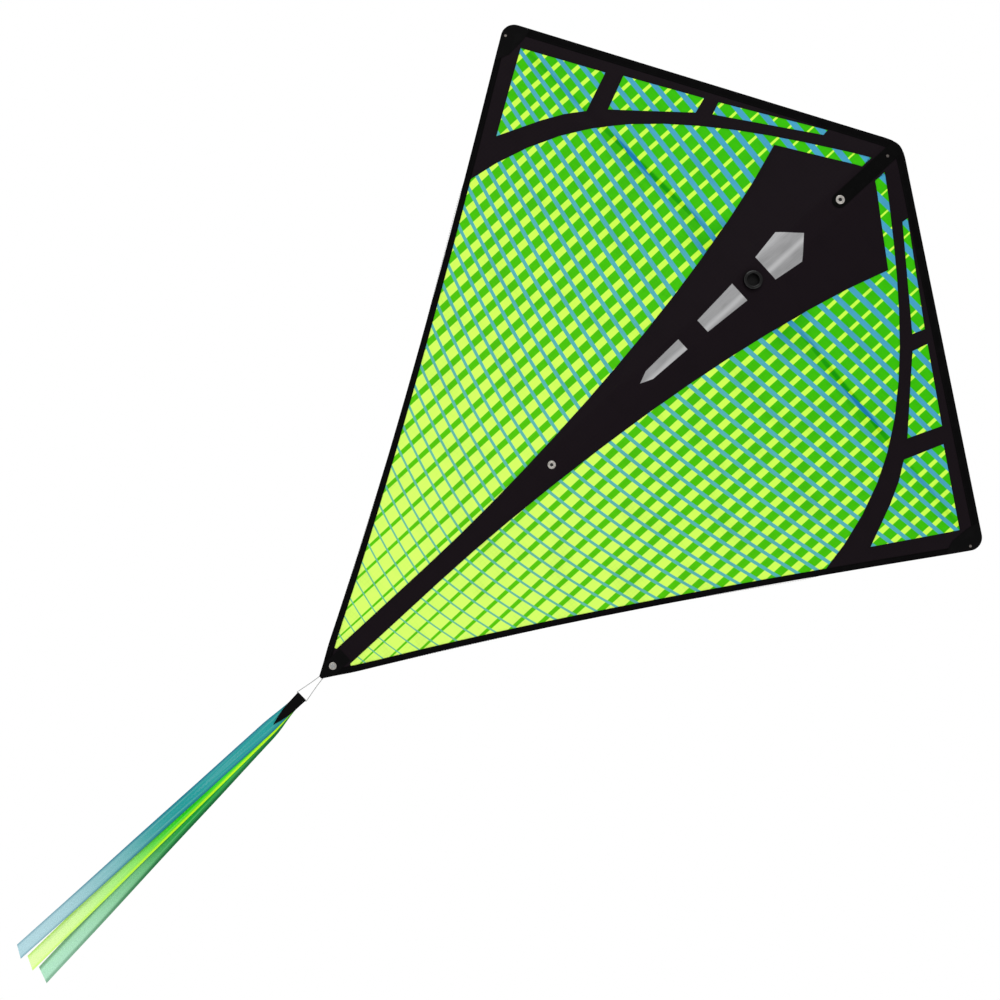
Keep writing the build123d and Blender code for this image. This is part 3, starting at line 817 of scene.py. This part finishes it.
def arc_between(start, end, steps=6):
    """Points on a circle round the hub from one angle to the other, measured from straight up."""
    turns = np.linspace(start, end, steps + 1)
    return [(STEM_HOLE_R * sin(turn), STEM_HOLE_R * cos(turn)) for turn in turns]


HOLE_ANGLE = float(np.arcsin(SEAM_X / STEM_HOLE_R))


def strip_halves():
    """Outlines of the strip above and below the hub's stem."""
    x = np.linspace(SEAM_X, -SEAM_X, 13)
    nose = np.column_stack([x, edge_height(np.abs(x))])
    upper = [*nose, *arc_between(-HOLE_ANGLE, HOLE_ANGLE, 8)]
    low = edge_height(SEAM_X, False)
    arc = [(x, -z) for x, z in arc_between(HOLE_ANGLE, -HOLE_ANGLE, 8)]
    lower = [(SEAM_X, low), *arc, (-SEAM_X, low), TAIL * (-1, 1), TAIL]
    return [np.array(upper), np.array(lower)]


def black_shell(name, loops):
    """Black cloth between loops, with the silver marks as a second material."""
    points, triangles = filled(loops, creases=MARK_LOOPS)
    middles = points[triangles].mean(axis=1)
    regions = is_inside(middles, MARK_LOOPS).astype(int)
    materials = [LOOKS["black_cloth"], LOOKS["silver_film"]]
    return shell(name, points, triangles, sail, CLOTH_FRONT, 0.1 * MM, materials, regions)


def centre_cloth():
    holes = front_outlines("centre_panel")[1:]
    holes = [hole for hole in holes if np.hypot(*hole.mean(axis=0)) > 2 * STEM_HOLE_R]
    for name, outline in zip(("centre_cloth_upper", "centre_cloth_lower"), strip_halves()):
        upper = outline[:, 1].mean() > 0
        inside = [hole for hole in holes if (hole[:, 1].mean() > 0) == upper]
        settle(black_shell(name, [outline, *inside]), "centre_panel", "spine")


def wing_outline():
    """The wing's raw edge, closed along the strip and round the hub's stem."""
    top, low = (SEAM_X, edge_height(SEAM_X)), (SEAM_X, edge_height(SEAM_X, False))
    notch = arc_between(pi - HOLE_ANGLE, HOLE_ANGLE, 6)
    return np.vstack([[top], EDGE, [low], notch])


def wing_cloth(side_name):
    """The black cloth of one wing, with its four openings."""
    side = SIDES[side_name]
    loops = [wing_outline(), *CLOTH_LOOPS[1:]]
    piece = black_shell(side_name + "_frame_cloth", [loop * (side, 1) for loop in loops])
    settle(piece, side_name + "_sail_frame_panel")
    bends(piece, side_name)


def behind_frame(points, depth):
    """A place on the sail, set further back where the cloth bends beside the spine."""
    beside_spine = smooth_step((BEND_ZONE - np.abs(points[:, 0])) / (8 * MM))
    return sail(points, depth + 0.45 * MM * beside_spine)


def window_cloth(side_name, window):
    """The plaid behind one opening of a wing."""
    loops = front_outlines("right_" + window + "_window_panel", 1)
    points, triangles = filled([loop * (SIDES[side_name], 1) for loop in loops])
    name = f"{side_name}_{window}_window"
    look = LOOKS["plaid_cloth"]
    piece = shell(name + "_cloth", points, triangles, behind_frame, 0.17 * MM, 0.37 * MM, [look])
    if window == "main":
        settle(piece, name + "_panel")
        bends(piece, side_name)
    else:
        settle(piece, name + "_panel", side_name + "_wing")


# ---- tape folded round the raw edges ----
HEM_FRONT, HEM_BACK, TAPE_T = -0.5 * MM, 0.7 * MM, 0.3 * MM
HEM_W, BINDING_W = 12 * MM, 8.2 * MM
SPLIT_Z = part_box("right_leading_edge_hem")[0].z
HEM_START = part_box("nose_strap")[1].x - 0.45 * MM


def measured(line):
    """Distance along an open line at each of its points."""
    return np.concatenate([[0], np.cumsum(np.linalg.norm(np.diff(line, axis=0), axis=1))])


def evened(line, step):
    """An open line redrawn with points at equal distances."""
    length = measured(line)
    wanted = np.linspace(0, length[-1], max(2, ceil(length[-1] / step)) + 1)
    return np.column_stack([np.interp(wanted, length, line[:, k]) for k in range(line.shape[1])])


def inward(line):
    """Unit normals of an open line, to the right of its direction of travel."""
    run = np.gradient(line, axis=0)
    run /= np.linalg.norm(run, axis=1)[:, None]
    return np.column_stack([run[:, 1], -run[:, 0]])


def tape_section(width):
    """Closed section of the folded tape: distance in from the finished edge, and depth."""
    middle, reach = (HEM_FRONT + HEM_BACK) / 2, (HEM_BACK - HEM_FRONT) / 2
    steps = [width * k / 5 for k in range(5, 1, -1)] + [reach * 1.6]
    outer = [(inset, HEM_FRONT) for inset in steps]
    bend = np.linspace(0.15, pi - 0.15, 7)  # the turns of the folded edge
    outer += [(reach - reach * sin(t), middle - reach * cos(t)) for t in bend]
    outer += [(inset, HEM_BACK) for inset in steps[::-1]]
    inner_reach = reach - TAPE_T
    inner = [(inset, HEM_BACK - TAPE_T) for inset in steps]
    inner += [(reach - inner_reach * sin(t), middle + inner_reach * cos(t)) for t in bend[::3]]
    inner += [(inset, HEM_FRONT + TAPE_T) for inset in steps[::-1]]
    return np.array(outer + inner)


def edge_tape(name, side_name, line, width, node):
    """Sweeps the folded tape along part of the raw edge, with slight puckers between stitches."""
    side = SIDES[side_name]
    line = evened(line, 3.2 * MM)
    normals = inward(line)
    along = measured(line)
    section = tape_section(width)
    rings = []
    for inset, depth in section:
        flat = line + normals * (inset - RAW_EDGE_INSET)
        flat[:, 0] = np.maximum(flat[:, 0], 0.05 * MM)
        pucker = 0.05 * MM * np.sin(along / (4.1 * MM) * tau) * np.sin(along / (61 * MM) * tau + 1)
        rings.append(sail(flat * (side, 1), depth + pucker * smooth_step(inset / (5 * MM))))
    rings = np.array(rings).transpose(1, 0, 2)
    if side < 0:
        rings = rings[:, ::-1]
    piece = made(f"{side_name}_{name}", *skin(rings, along), [LOOKS["black_hem"]])
    settle(piece, f"{side_name}_{node}")
    bends(piece, side_name)


def split_edge():
    """The raw edge in two lines: leading edge with the top of the tip, then trailing edge."""
    line = evened(HALF_SAIL, 1 * MM)
    corner = int(np.argmax(line[:, 1] < SPLIT_Z))
    leading, trailing = line[: corner + 1], line[corner:]
    return leading[leading[:, 0] > HEM_START], trailing


LEADING, TRAILING = split_edge()


def edge_tapes(side_name):
    edge_tape("leading_hem", side_name, LEADING, HEM_W, "leading_edge_hem")
    edge_tape("trailing_binding", side_name, TRAILING, BINDING_W, "trailing_edge_binding")


# ---- patches, straps and pockets ----
def placer(position, small=0.2 * MM):
    """Turns position(points) into place(points, depth), with depth along the surface's back normal."""
    def place(points, depth):
        across, along = np.array([small, 0]), np.array([0, small])
        run = position(points + across) - position(points - across)
        rise = position(points + along) - position(points - along)
        return position(points) + backward_normals(rise, run) * depth
    return place


def patch(node, body, depths, side=0):
    """A flat CAD patch laid on the sail."""
    loops = front_outlines(node, side)
    points, triangles = filled([loop * (side or 1, 1) for loop in loops], step=lambda x: 4 * MM)
    piece = shell(node + "_cloth", points, triangles, sail, *depths, [LOOKS["black_patch"]])
    settle(piece, node, body)


def rounded(line, times=3):
    """Corner cutting on an open line."""
    for _ in range(times):
        ahead = line[:-1] * 0.75 + line[1:] * 0.25
        behind = line[:-1] * 0.25 + line[1:] * 0.75
        line = np.vstack([line[:1], np.stack([ahead, behind], 1).reshape(-1, line.shape[1]), line[-1:]])
    return line


def follow(line, distance):
    """Places at distances along an open line, going straight on past its ends."""
    length = measured(line)
    found = np.column_stack([np.interp(distance, length, line[:, k]) for k in range(line.shape[1])])
    first, last = line[1] - line[0], line[-1] - line[-2]
    before = np.minimum(distance, 0)[:, None] * first / np.linalg.norm(first)
    after = np.maximum(distance - length[-1], 0)[:, None] * last / np.linalg.norm(last)
    return found + before + after


def circle(centre, radius, count=12):
    turns = np.arange(count) * tau / count
    return np.column_stack([centre[0] + radius * np.cos(turns), centre[1] + radius * np.sin(turns)])


def hump(x, flat_from, full_at):
    """1 over a rod, 0 beside it."""
    return smooth_step((flat_from - np.abs(x)) / (flat_from - full_at))


def webbing(name, node, body, position, outline, holes=()):
    """Webbing laid on a surface, with holes for its rivets and eyelets."""
    points, triangles = filled([outline, *holes], step=lambda x: 2 * MM)
    depths = (-WEBBING_T / 2, WEBBING_T / 2)
    piece = shell(name, points, triangles, placer(position), *depths, [LOOKS["black_webbing"]])
    settle(piece, node, body)


def box_outline(x0, x1, z0, z1):
    return np.array([(x0, z0), (x1, z0), (x1, z1), (x0, z1)])


WEBBING_T = 0.6 * MM
RIVET_HOLE_R, EYELET_HOLE_R = 1.25 * MM, 3 * MM
STRAP_LOW, STRAP_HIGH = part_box("nose_strap")
STRAP_FRONT, STRAP_BACK = -0.85 * MM, 1.05 * MM  # middles of the webbing's two legs
STRAP_END_Z = 204 * MM  # lower end of the back leg
CAP_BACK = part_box("nose_end_cap")[1].y
NOSE_RIVET_Z = middle_z("nose_rivet")


def nose_strap():
    """Webbing from the upper eyelet over the nose; its back leg wraps the spine's cap."""
    half_w = STRAP_HIGH.x
    fold_z = STRAP_HIGH.z - WEBBING_T / 2
    turn_z = fold_z - 0.8 * MM
    front_leg = [(STRAP_FRONT, STRAP_LOW.z), (STRAP_FRONT, turn_z)]
    back_leg = [(STRAP_BACK, turn_z), (STRAP_BACK, STRAP_END_Z)]
    line = rounded(np.array([*front_leg, (0, fold_z), *back_leg]), 4)
    front_length = fold_z - STRAP_LOW.z
    length = measured(line)[-1]

    def position(points):
        path = follow(line, points[:, 1])
        behind = points[:, 1] > front_length
        over_cap = smooth_step((NOSE_RIVET_Z - 2 * MM - path[:, 1]) / (8 * MM)) * behind
        lift = (CAP_BACK + 0.5 * MM - STRAP_BACK) * hump(points[:, 0], 9 * MM, 2.4 * MM) * over_cap
        crown = 0.12 * MM * (points[:, 0] / half_w) ** 2 * np.where(behind, -1, 1)
        start_z = NOSE_RIVET_Z + 3 * MM
        near_fold = smooth_step((path[:, 1] - start_z) / (fold_z - start_z))
        drop = (NOSE_Z - edge_height(np.abs(points[:, 0]))) * near_fold
        return np.column_stack([points[:, 0], path[:, 0] + lift + crown, path[:, 1] - drop])

    turns = np.linspace(pi, tau, 17)
    tongue = [(half_w * np.cos(t), half_w + half_w * np.sin(t)) for t in turns]
    outline = np.array([*tongue, (half_w, length), (-half_w, length)])
    eyelet = circle((0, middle_z("upper_bridle_eyelet") - STRAP_LOW.z), EYELET_HOLE_R, 20)
    front_rivet = circle((0, NOSE_RIVET_Z - STRAP_LOW.z), RIVET_HOLE_R)
    back_rivet = circle((0, length - (NOSE_RIVET_Z - STRAP_END_Z)), RIVET_HOLE_R)
    holes = [eyelet, front_rivet, back_rivet]
    webbing("nose_strap_webbing", "nose_strap", "spine", position, outline, holes)


def spine_keeper():
    """A loop over the spine, sewn down at both sides."""
    low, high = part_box("spine_keeper")
    half_w = high.x + 1 * MM

    def position(points):
        x, z = points.T
        y = 0.45 * MM + (high.y - 0.75 * MM) * hump(x, 7.6 * MM, 1.6 * MM)
        return np.column_stack([x, y, z])

    outline = box_outline(-half_w, half_w, low.z, high.z)
    webbing("spine_keeper_webbing", "spine_keeper", "spine", position, outline)


def tail_pocket():
    """A pocket closed round the spine's lower cap."""
    low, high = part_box("tail_pocket")
    top_z = high.z - 10 * MM

    def position(points):
        x, z = points.T
        over = smooth_step((z - low.z - 1 * MM) / (6 * MM))
        y = 0.85 * MM + (high.y - 1.15 * MM) * hump(x, 7.4 * MM, 2.2 * MM) * over
        return np.column_stack([x, y, z])

    outline = box_outline(-high.x, high.x, low.z, top_z)
    webbing("tail_pocket_webbing", "tail_pocket", "spine", position, outline)


def tip_pocket(side_name):
    """A pocket round the spreader's outer cap, riveted beyond it."""
    side = SIDES[side_name]
    rivet_x, half_w = 460 * MM, 12 * MM
    start_x = rivet_x - 46 * MM
    flap_x = rivet_x - 9 * MM  # the pocket begins to close here
    near_tip = EDGE[(EDGE[:, 0] > 350 * MM) & (EDGE[:, 1] < 20 * MM)]

    def position(points):
        x, z = points.T
        over = 1 - smooth_step((np.abs(x) - flap_x) / (6 * MM))
        y = 1.35 * MM + 7.5 * MM * hump(z, 11 * MM, 1.8 * MM) * over
        folded_x, folded_y = folded(np.abs(x), y, DIHEDRAL)
        return np.column_stack([folded_x * side, folded_y, z])

    heights = np.linspace(-half_w, half_w, 13)
    rim = [(np.interp(-z, -near_tip[:, 1], near_tip[:, 0]), z) for z in heights]
    outline = np.array([(start_x, -half_w), *rim, (start_x, half_w)]) * (side, 1)
    rivet = circle((rivet_x * side, 0), RIVET_HOLE_R)
    node = side_name + "_tip_pocket"
    webbing(node + "_webbing", node, side_name + "_wing", position, outline, [rivet])


# ---- stitching ----
STITCH, STITCH_GAP, STITCH_W, STITCH_H = 2.5 * MM, 0.9 * MM, 0.22 * MM, 0.14 * MM
STITCH_RINGS = [(-0.5, 0.25), (-0.36, 0.85), (0.0, 1.0), (0.36, 0.85), (0.5, 0.25)]  # place and size
HEM_ROWS, BINDING_ROW = (3.2 * MM, 10.2 * MM), 5.4 * MM  # distances from the finished edge
WINDOW_ROWS = (1.3 * MM, 3.8 * MM)  # distances from an opening
ROW_STEP = 1.5 * MM
ROW_START = 9 * MM  # rows keep this far from the spine


def stitches(line, place, depth, flipped):
    """A row of small raised threads along an open line on a surface; flipped turns their faces."""
    length = measured(line)
    count = max(1, int(length[-1] / (STITCH + STITCH_GAP)))
    middles = (np.arange(count) + 0.5) * length[-1] / count
    ahead, behind = follow(line, middles + STITCH / 2), follow(line, middles - STITCH / 2)
    run = ahead - behind
    run /= np.linalg.norm(run, axis=1)[:, None]
    across = np.column_stack([-run[:, 1], run[:, 0]])
    corners = []
    for share, size in STITCH_RINGS:
        centre = follow(line, middles + share * STITCH)
        for wide, high in ((1, 0), (0, -1), (-1, 0), (0, 1)):
            corners.append(place(centre + across * wide * size * STITCH_W, depth + high * size * STITCH_H))
    vertices = np.array(corners).transpose(1, 0, 2).reshape(-1, 3)
    rings = len(STITCH_RINGS)
    single = skin_faces(rings, 4)
    if flipped:
        single = [face[::-1] for face in single]
    starts = range(0, len(vertices), rings * 4)
    faces = [[start + corner for corner in face] for start in starts for face in single]
    along = np.tile(np.repeat(np.linspace(0, STITCH, rings), 4), count)
    return vertices, faces, np.column_stack([along, np.zeros(len(vertices))])


def beside(line, distance):
    """An open line moved to the right of its direction of travel, cut short of the spine."""
    line = evened(line, ROW_STEP)
    moved = line + inward(line) * distance
    return moved[moved[:, 0] > ROW_START]


def round_window(loop, distance):
    """A window's outline moved outwards onto the black cloth, as an open line."""
    turn = np.sum(loop[:, 0] * np.roll(loop[:, 1], -1) - loop[:, 1] * np.roll(loop[:, 0], -1))
    loop = loop[::-1] if turn < 0 else loop
    return beside(np.vstack([loop, loop[:1]]), distance)


def wing_stitches(side_name):
    """Two rows on the hem, one on the binding and two round each window."""
    side = SIDES[side_name]

    def place(points, depth):
        return sail(points * (side, 1), depth)

    rows = [(beside(LEADING, inset - RAW_EDGE_INSET), HEM_FRONT) for inset in HEM_ROWS]
    rows.append((beside(TRAILING, BINDING_ROW - RAW_EDGE_INSET), HEM_FRONT))
    windows = [loop for loop in CLOTH_LOOPS[1:] if np.ptp(loop[:, 0]) > 20 * MM]
    rows += [(round_window(loop, distance), CLOTH_FRONT) for loop in windows for distance in WINDOW_ROWS]
    parts = [stitches(line, place, depth, side > 0) for line, depth in rows]
    piece = joined(side_name + "_wing_stitches", parts, [LOOKS["thread"]])
    settle(piece)
    bends(piece, side_name)


# ---- tail ----
TAIL_PIN = Vector(JOINTS["tail_swing"]["pos_m"])
HEADER_PIN = Vector(JOINTS["header_sway"]["pos_m"])
LEAN = radians(2)


def leaned(points):
    """Tail pieces are drawn hanging straight, then leaned about the tail eyelet."""
    points = np.asarray(points, float)
    x, z = points[..., 0], points[..., 2] - TAIL_PIN.z
    across, along = x * cos(LEAN) - z * sin(LEAN), x * sin(LEAN) + z * cos(LEAN)
    return np.stack([across, points[..., 1], TAIL_PIN.z + along], -1)


CORD_R = 0.5 * MM
CORD_TWIST = 0.42  # turn of the plies from one ring to the next
HEADER_HALF_W, HEADER_NECK_HALF_W = 7.0 * MM, 6.2 * MM
HEADER_DROP = 48.4 * MM  # from the cord down to the leaves' ends
HANG_Z = TAIL_PIN.z - hypot(HEADER_PIN.x, HEADER_PIN.z - TAIL_PIN.z)  # height of the header's hem
KNOT_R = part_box("tail_cord")[0].y * -0.5  # the knot's ball reaches forward from the eyelet's mouth
KNOT_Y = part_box("tail_cord")[0].y + KNOT_R


def cord_rings(line):
    """The cord's section along a 3-D line, twisted a little more at each point."""
    section = cord_section()
    run = np.gradient(line, axis=0)
    run /= np.linalg.norm(run, axis=1)[:, None]
    side = np.cross(run[0], (0, 1, 0.3))
    rings = []
    for number, (place, direction) in enumerate(zip(line, run)):
        side = side - direction * (side @ direction)
        side /= np.linalg.norm(side)
        other = np.cross(direction, side)
        c, s = cos(number * CORD_TWIST), sin(number * CORD_TWIST)
        rings.append([place + side * (a * c - b * s) + other * (a * s + b * c) for a, b in section])
    return leaned(rings)


def cord_section(count=12):
    """Two plies of a thin cord, side by side."""
    t = np.arange(count) * tau / count
    radius = CORD_R * 0.88 * (1 + 0.22 * np.cos(2 * t))
    return np.column_stack([radius * np.cos(t), -radius * np.sin(t)])


def knot_line(count=120):
    """A closed overhand knot in the eyelet's mouth."""
    t = np.arange(count) * tau / count
    reach = (2 + np.cos(3 * t)) * KNOT_R * 0.27
    depth = np.sin(3 * t) * KNOT_R * 0.36
    return np.column_stack([reach * np.cos(2 * t), KNOT_Y + depth, TAIL_PIN.z + reach * np.sin(2 * t)])


def tail_cord():
    """A twisted cord: a loop behind the cloth, knotted in the tail eyelet, with its feet in the hem."""
    foot_x = HEADER_HALF_W + 1 * MM
    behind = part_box("tail_cord")[1].y - CORD_R
    parts = []
    foot = [(0.3 * MM, 0, HANG_Z), (foot_x, 0, HANG_Z), (foot_x, 0, HANG_Z + 1.2 * MM)]
    leg = [(2.4 * MM, behind, TAIL_PIN.z - 24 * MM), (1.1 * MM, behind, TAIL_PIN.z - 1 * MM)]
    mouth = [(1.1 * MM, behind - 1.2 * MM, TAIL_PIN.z), (0.9 * MM, KNOT_Y, TAIL_PIN.z)]
    for side in SIDES.values():
        line = np.array(foot + leg + mouth) * (side, 1, 1)
        line = evened(rounded(line), 0.35 * MM)
        parts.append(skin(cord_rings(line), measured(line)))
    knot = knot_line()
    parts.append(skin(cord_rings(knot), measured(knot), looped=True))
    piece = joined("tail_cord_twist", parts, [LOOKS["grey_cord"]])
    settle(piece, "tail_cord", "tail_cord_loop")


def tail_header():
    """A strip of cloth folded over the cord; its two tapered leaves hold the ribbons."""
    tip_z = HANG_Z - HEADER_DROP
    fold_r = 1.35 * MM
    arc = [(-fold_r * cos(t), HANG_Z + fold_r * sin(t)) for t in np.linspace(0, pi, 9)]
    shoulder_z = HANG_Z - 4 * MM
    leaf = np.array([(1.5 * MM, shoulder_z), (1.55 * MM, tip_z)])
    line = np.array([*(leaf * (-1, 1))[::-1], *arc, *leaf])
    length = measured(line)[-1]

    def position(points):
        path = follow(line, points[:, 1])
        low = smooth_step((HANG_Z - 6 * MM - path[:, 1]) / (30 * MM))
        cup = 0.3 * MM * (points[:, 0] / HEADER_HALF_W) ** 2 * np.sign(path[:, 0]) * low
        return leaned(np.column_stack([points[:, 0], path[:, 0] + cup, path[:, 1]]))

    t = np.linspace(0, 1, 9)
    half_w = HEADER_NECK_HALF_W * (1 - (1 - t) ** 1.7) + 0.15 * MM
    taper = [*zip(half_w, 32 * MM * t), (HEADER_HALF_W, 47 * MM)]
    right = np.array([*taper, *[(x, length - z) for x, z in taper[::-1]]])
    outline = np.vstack([right, (right * (-1, 1))[::-1]])
    points, triangles = filled([outline], step=lambda x: 1.5 * MM)
    look = LOOKS["black_patch"]
    name = "tail_header_tab_cloth"
    piece = shell(name, points, triangles, placer(position), -0.22 * MM, 0.22 * MM, [look])
    settle(piece, "tail_header", "tail_header_tab")


ROOT = Vector(JOINTS["lime_fan"]["pos_m"])
ROOT_DROP = hypot(ROOT.x, ROOT.z - TAIL_PIN.z)  # from the tail eyelet to the ribbons' sewn ends
RIBBON_START, RIBBON_END = -5 * MM, 457 * MM  # distances from the sewn line
ROOT_HALF_W = 6.1 * MM
SWELL, FLUTTER = (7 * MM, 210 * MM, 200 * MM), (0.4 * MM, 83 * MM, 150 * MM)  # height, length, build-up
# Layer from front to back, half width and fan angle.
RIBBONS = {"teal": (-1, 8.0 * MM, 2.6), "lime": (0, 8.6 * MM, 0.1), "green": (1, 10.2 * MM, -2.6)}


def ribbon(colour, layer, wide_w, fan_deg):
    """A thin streamer: gathered at its root, then flat with a soft ripple that depends only on the
    distance from the root, so that the three slide over each other when they fan."""
    turn = radians(fan_deg)

    def ripple(reach, form, phase):
        height, length, build_up = form
        return height * np.sin(reach / length * tau + phase) * smooth_step(reach / build_up)

    def position(points):
        x, drop = points.T
        reach = np.hypot(x, drop)
        gap = 0.8 * MM + 6 * MM * smooth_step(drop / (460 * MM))
        cup = 1.3 * MM * (x / wide_w) ** 2 * smooth_step(drop / (120 * MM))
        y = layer * gap + ripple(reach, SWELL, 0.4) + ripple(reach, FLUTTER, layer) + cup
        turned_x = x * cos(turn) - drop * sin(turn)
        turned_z = -drop * cos(turn) - x * sin(turn)
        return leaned(np.column_stack([turned_x, y, TAIL_PIN.z - ROOT_DROP + turned_z]))

    drops = np.linspace(RIBBON_START, RIBBON_END, 60)
    half_w = ROOT_HALF_W + (wide_w - ROOT_HALF_W) * smooth_step((drops - 5 * MM) / (45 * MM))
    right = np.column_stack([half_w, drops])
    left = (right * (-1, 1))[::-1]
    left[0, 1] -= 8 * MM  # the end is cut at a slant
    points, triangles = filled([np.vstack([right, left])], step=lambda x: 3.5 * MM)
    triangles = triangles[:, ::-1]
    place = placer(position)
    name = colour + "_ribbon"
    depths = (-0.08 * MM, 0.08 * MM)
    look = LOOKS[name]
    piece = shell(name + "_cloth", points, triangles, lambda p, depth: place(p, -depth), *depths, [look])
    settle(piece, colour + "_streamer", name)


def assemble_sail():
    centre_cloth()
    for side_name, side in SIDES.items():
        wing_cloth(side_name)
        for window in ("main", "inner", "middle", "tip"):
            window_cloth(side_name, window)
        edge_tapes(side_name)
        tip_pocket(side_name)
        patch(side_name + "_tip_patch", side_name + "_wing", (-0.85 * MM, -0.52 * MM), side)
        wing_stitches(side_name)


dress_kept_nodes()
assemble_sail()
patch("tail_patch", "spine", (-0.65 * MM, -0.52 * MM))
nose_strap()
spine_keeper()
tail_pocket()
tail_cord()
tail_header()
for colour, form in RIBBONS.items():
    ribbon(colour, *form)


# ---- camera, light and stage ----
LOOK_AT = Vector((-11.4, 0, -432.9)) * MM
TURN, RISE, ROLL = radians(0.95), radians(8.73), radians(47.44)
DISTANCE, LENS = 3.942, 112.9


def photo_camera():
    """Below and a little to the left of the kite, which leans to the upper right of the frame."""
    forward = Vector((sin(TURN) * cos(RISE), cos(TURN) * cos(RISE), sin(RISE)))
    right = Vector((cos(TURN), -sin(TURN), 0))
    up = right.cross(forward)
    image_x = right * cos(ROLL) + up * sin(ROLL)
    image_y = up * cos(ROLL) - right * sin(ROLL)
    data = bpy.data.cameras.new("camera")
    data.lens, data.sensor_width = LENS, 36
    camera = bpy.data.objects.new("camera", data)
    bpy.context.scene.collection.objects.link(camera)
    turned = zip(image_x, image_y, -forward)
    rows = [(*row, place) for row, place in zip(turned, LOOK_AT - forward * DISTANCE)]
    camera.matrix_world = Matrix([*rows, (0, 0, 0, 1)])
    bpy.context.scene.camera = camera


def area_light(name, place, target, size, power):
    data = bpy.data.lights.new(name, "AREA")
    data.size, data.energy = size, power
    light = bpy.data.objects.new(name, data)
    light.location = place
    light.rotation_euler = (Vector(target) - Vector(place)).to_track_quat("-Z", "Y").to_euler()
    bpy.context.scene.collection.objects.link(light)


def studio():
    """Pale floor and an even white surround; the camera sees the surround as plain white."""
    world = bpy.data.worlds.new("studio")
    bpy.context.scene.world = world
    world.use_nodes = True
    tree = world.node_tree
    shine, camera_ray = tree.nodes["Background"], tree.nodes.new("ShaderNodeLightPath")
    strength = tree.nodes.new("ShaderNodeMapRange")
    strength.inputs["To Min"].default_value = 0.62
    strength.inputs["To Max"].default_value = 1.0
    shine.inputs["Color"].default_value = (1, 1, 1, 1)
    tree.links.new(camera_ray.outputs["Is Camera Ray"], strength.inputs["Value"])
    tree.links.new(strength.outputs[0], shine.inputs["Strength"])
    floor_z = cad_bounds[0].z - 0.5
    corners = [(x, y, floor_z) for x, y in box_outline(-3.8, 3.8, -3.8, 3.8)]
    floor = made("floor", corners, [(0, 1, 2, 3)], box_outline(0, 1, 0, 1), [])
    look = Look("pale_floor", on_cloth=False, roughness=0.9)
    look.set("Base Color", (0.93, 0.93, 0.93, 1))
    floor.data.materials.append(look.material)
    floor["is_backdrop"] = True
    area_light("key", (-2.2, -3.4, 2.0), (0, 0, -0.3), 2.6, 95)
    area_light("fill", (2.8, -2.6, 0.2), (0, 0, -0.4), 2.4, 30)
    area_light("back", (0.6, 3.4, 1.6), (0, 0, -0.3), 2.6, 60)


photo_camera()
studio()
bpy.context.scene.view_settings.view_transform = "Standard"

new_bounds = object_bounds()
sizes = {"cad": cad_bounds, "visual": new_bounds}
{name: [list(corner) for corner in box] for name, box in sizes.items()}
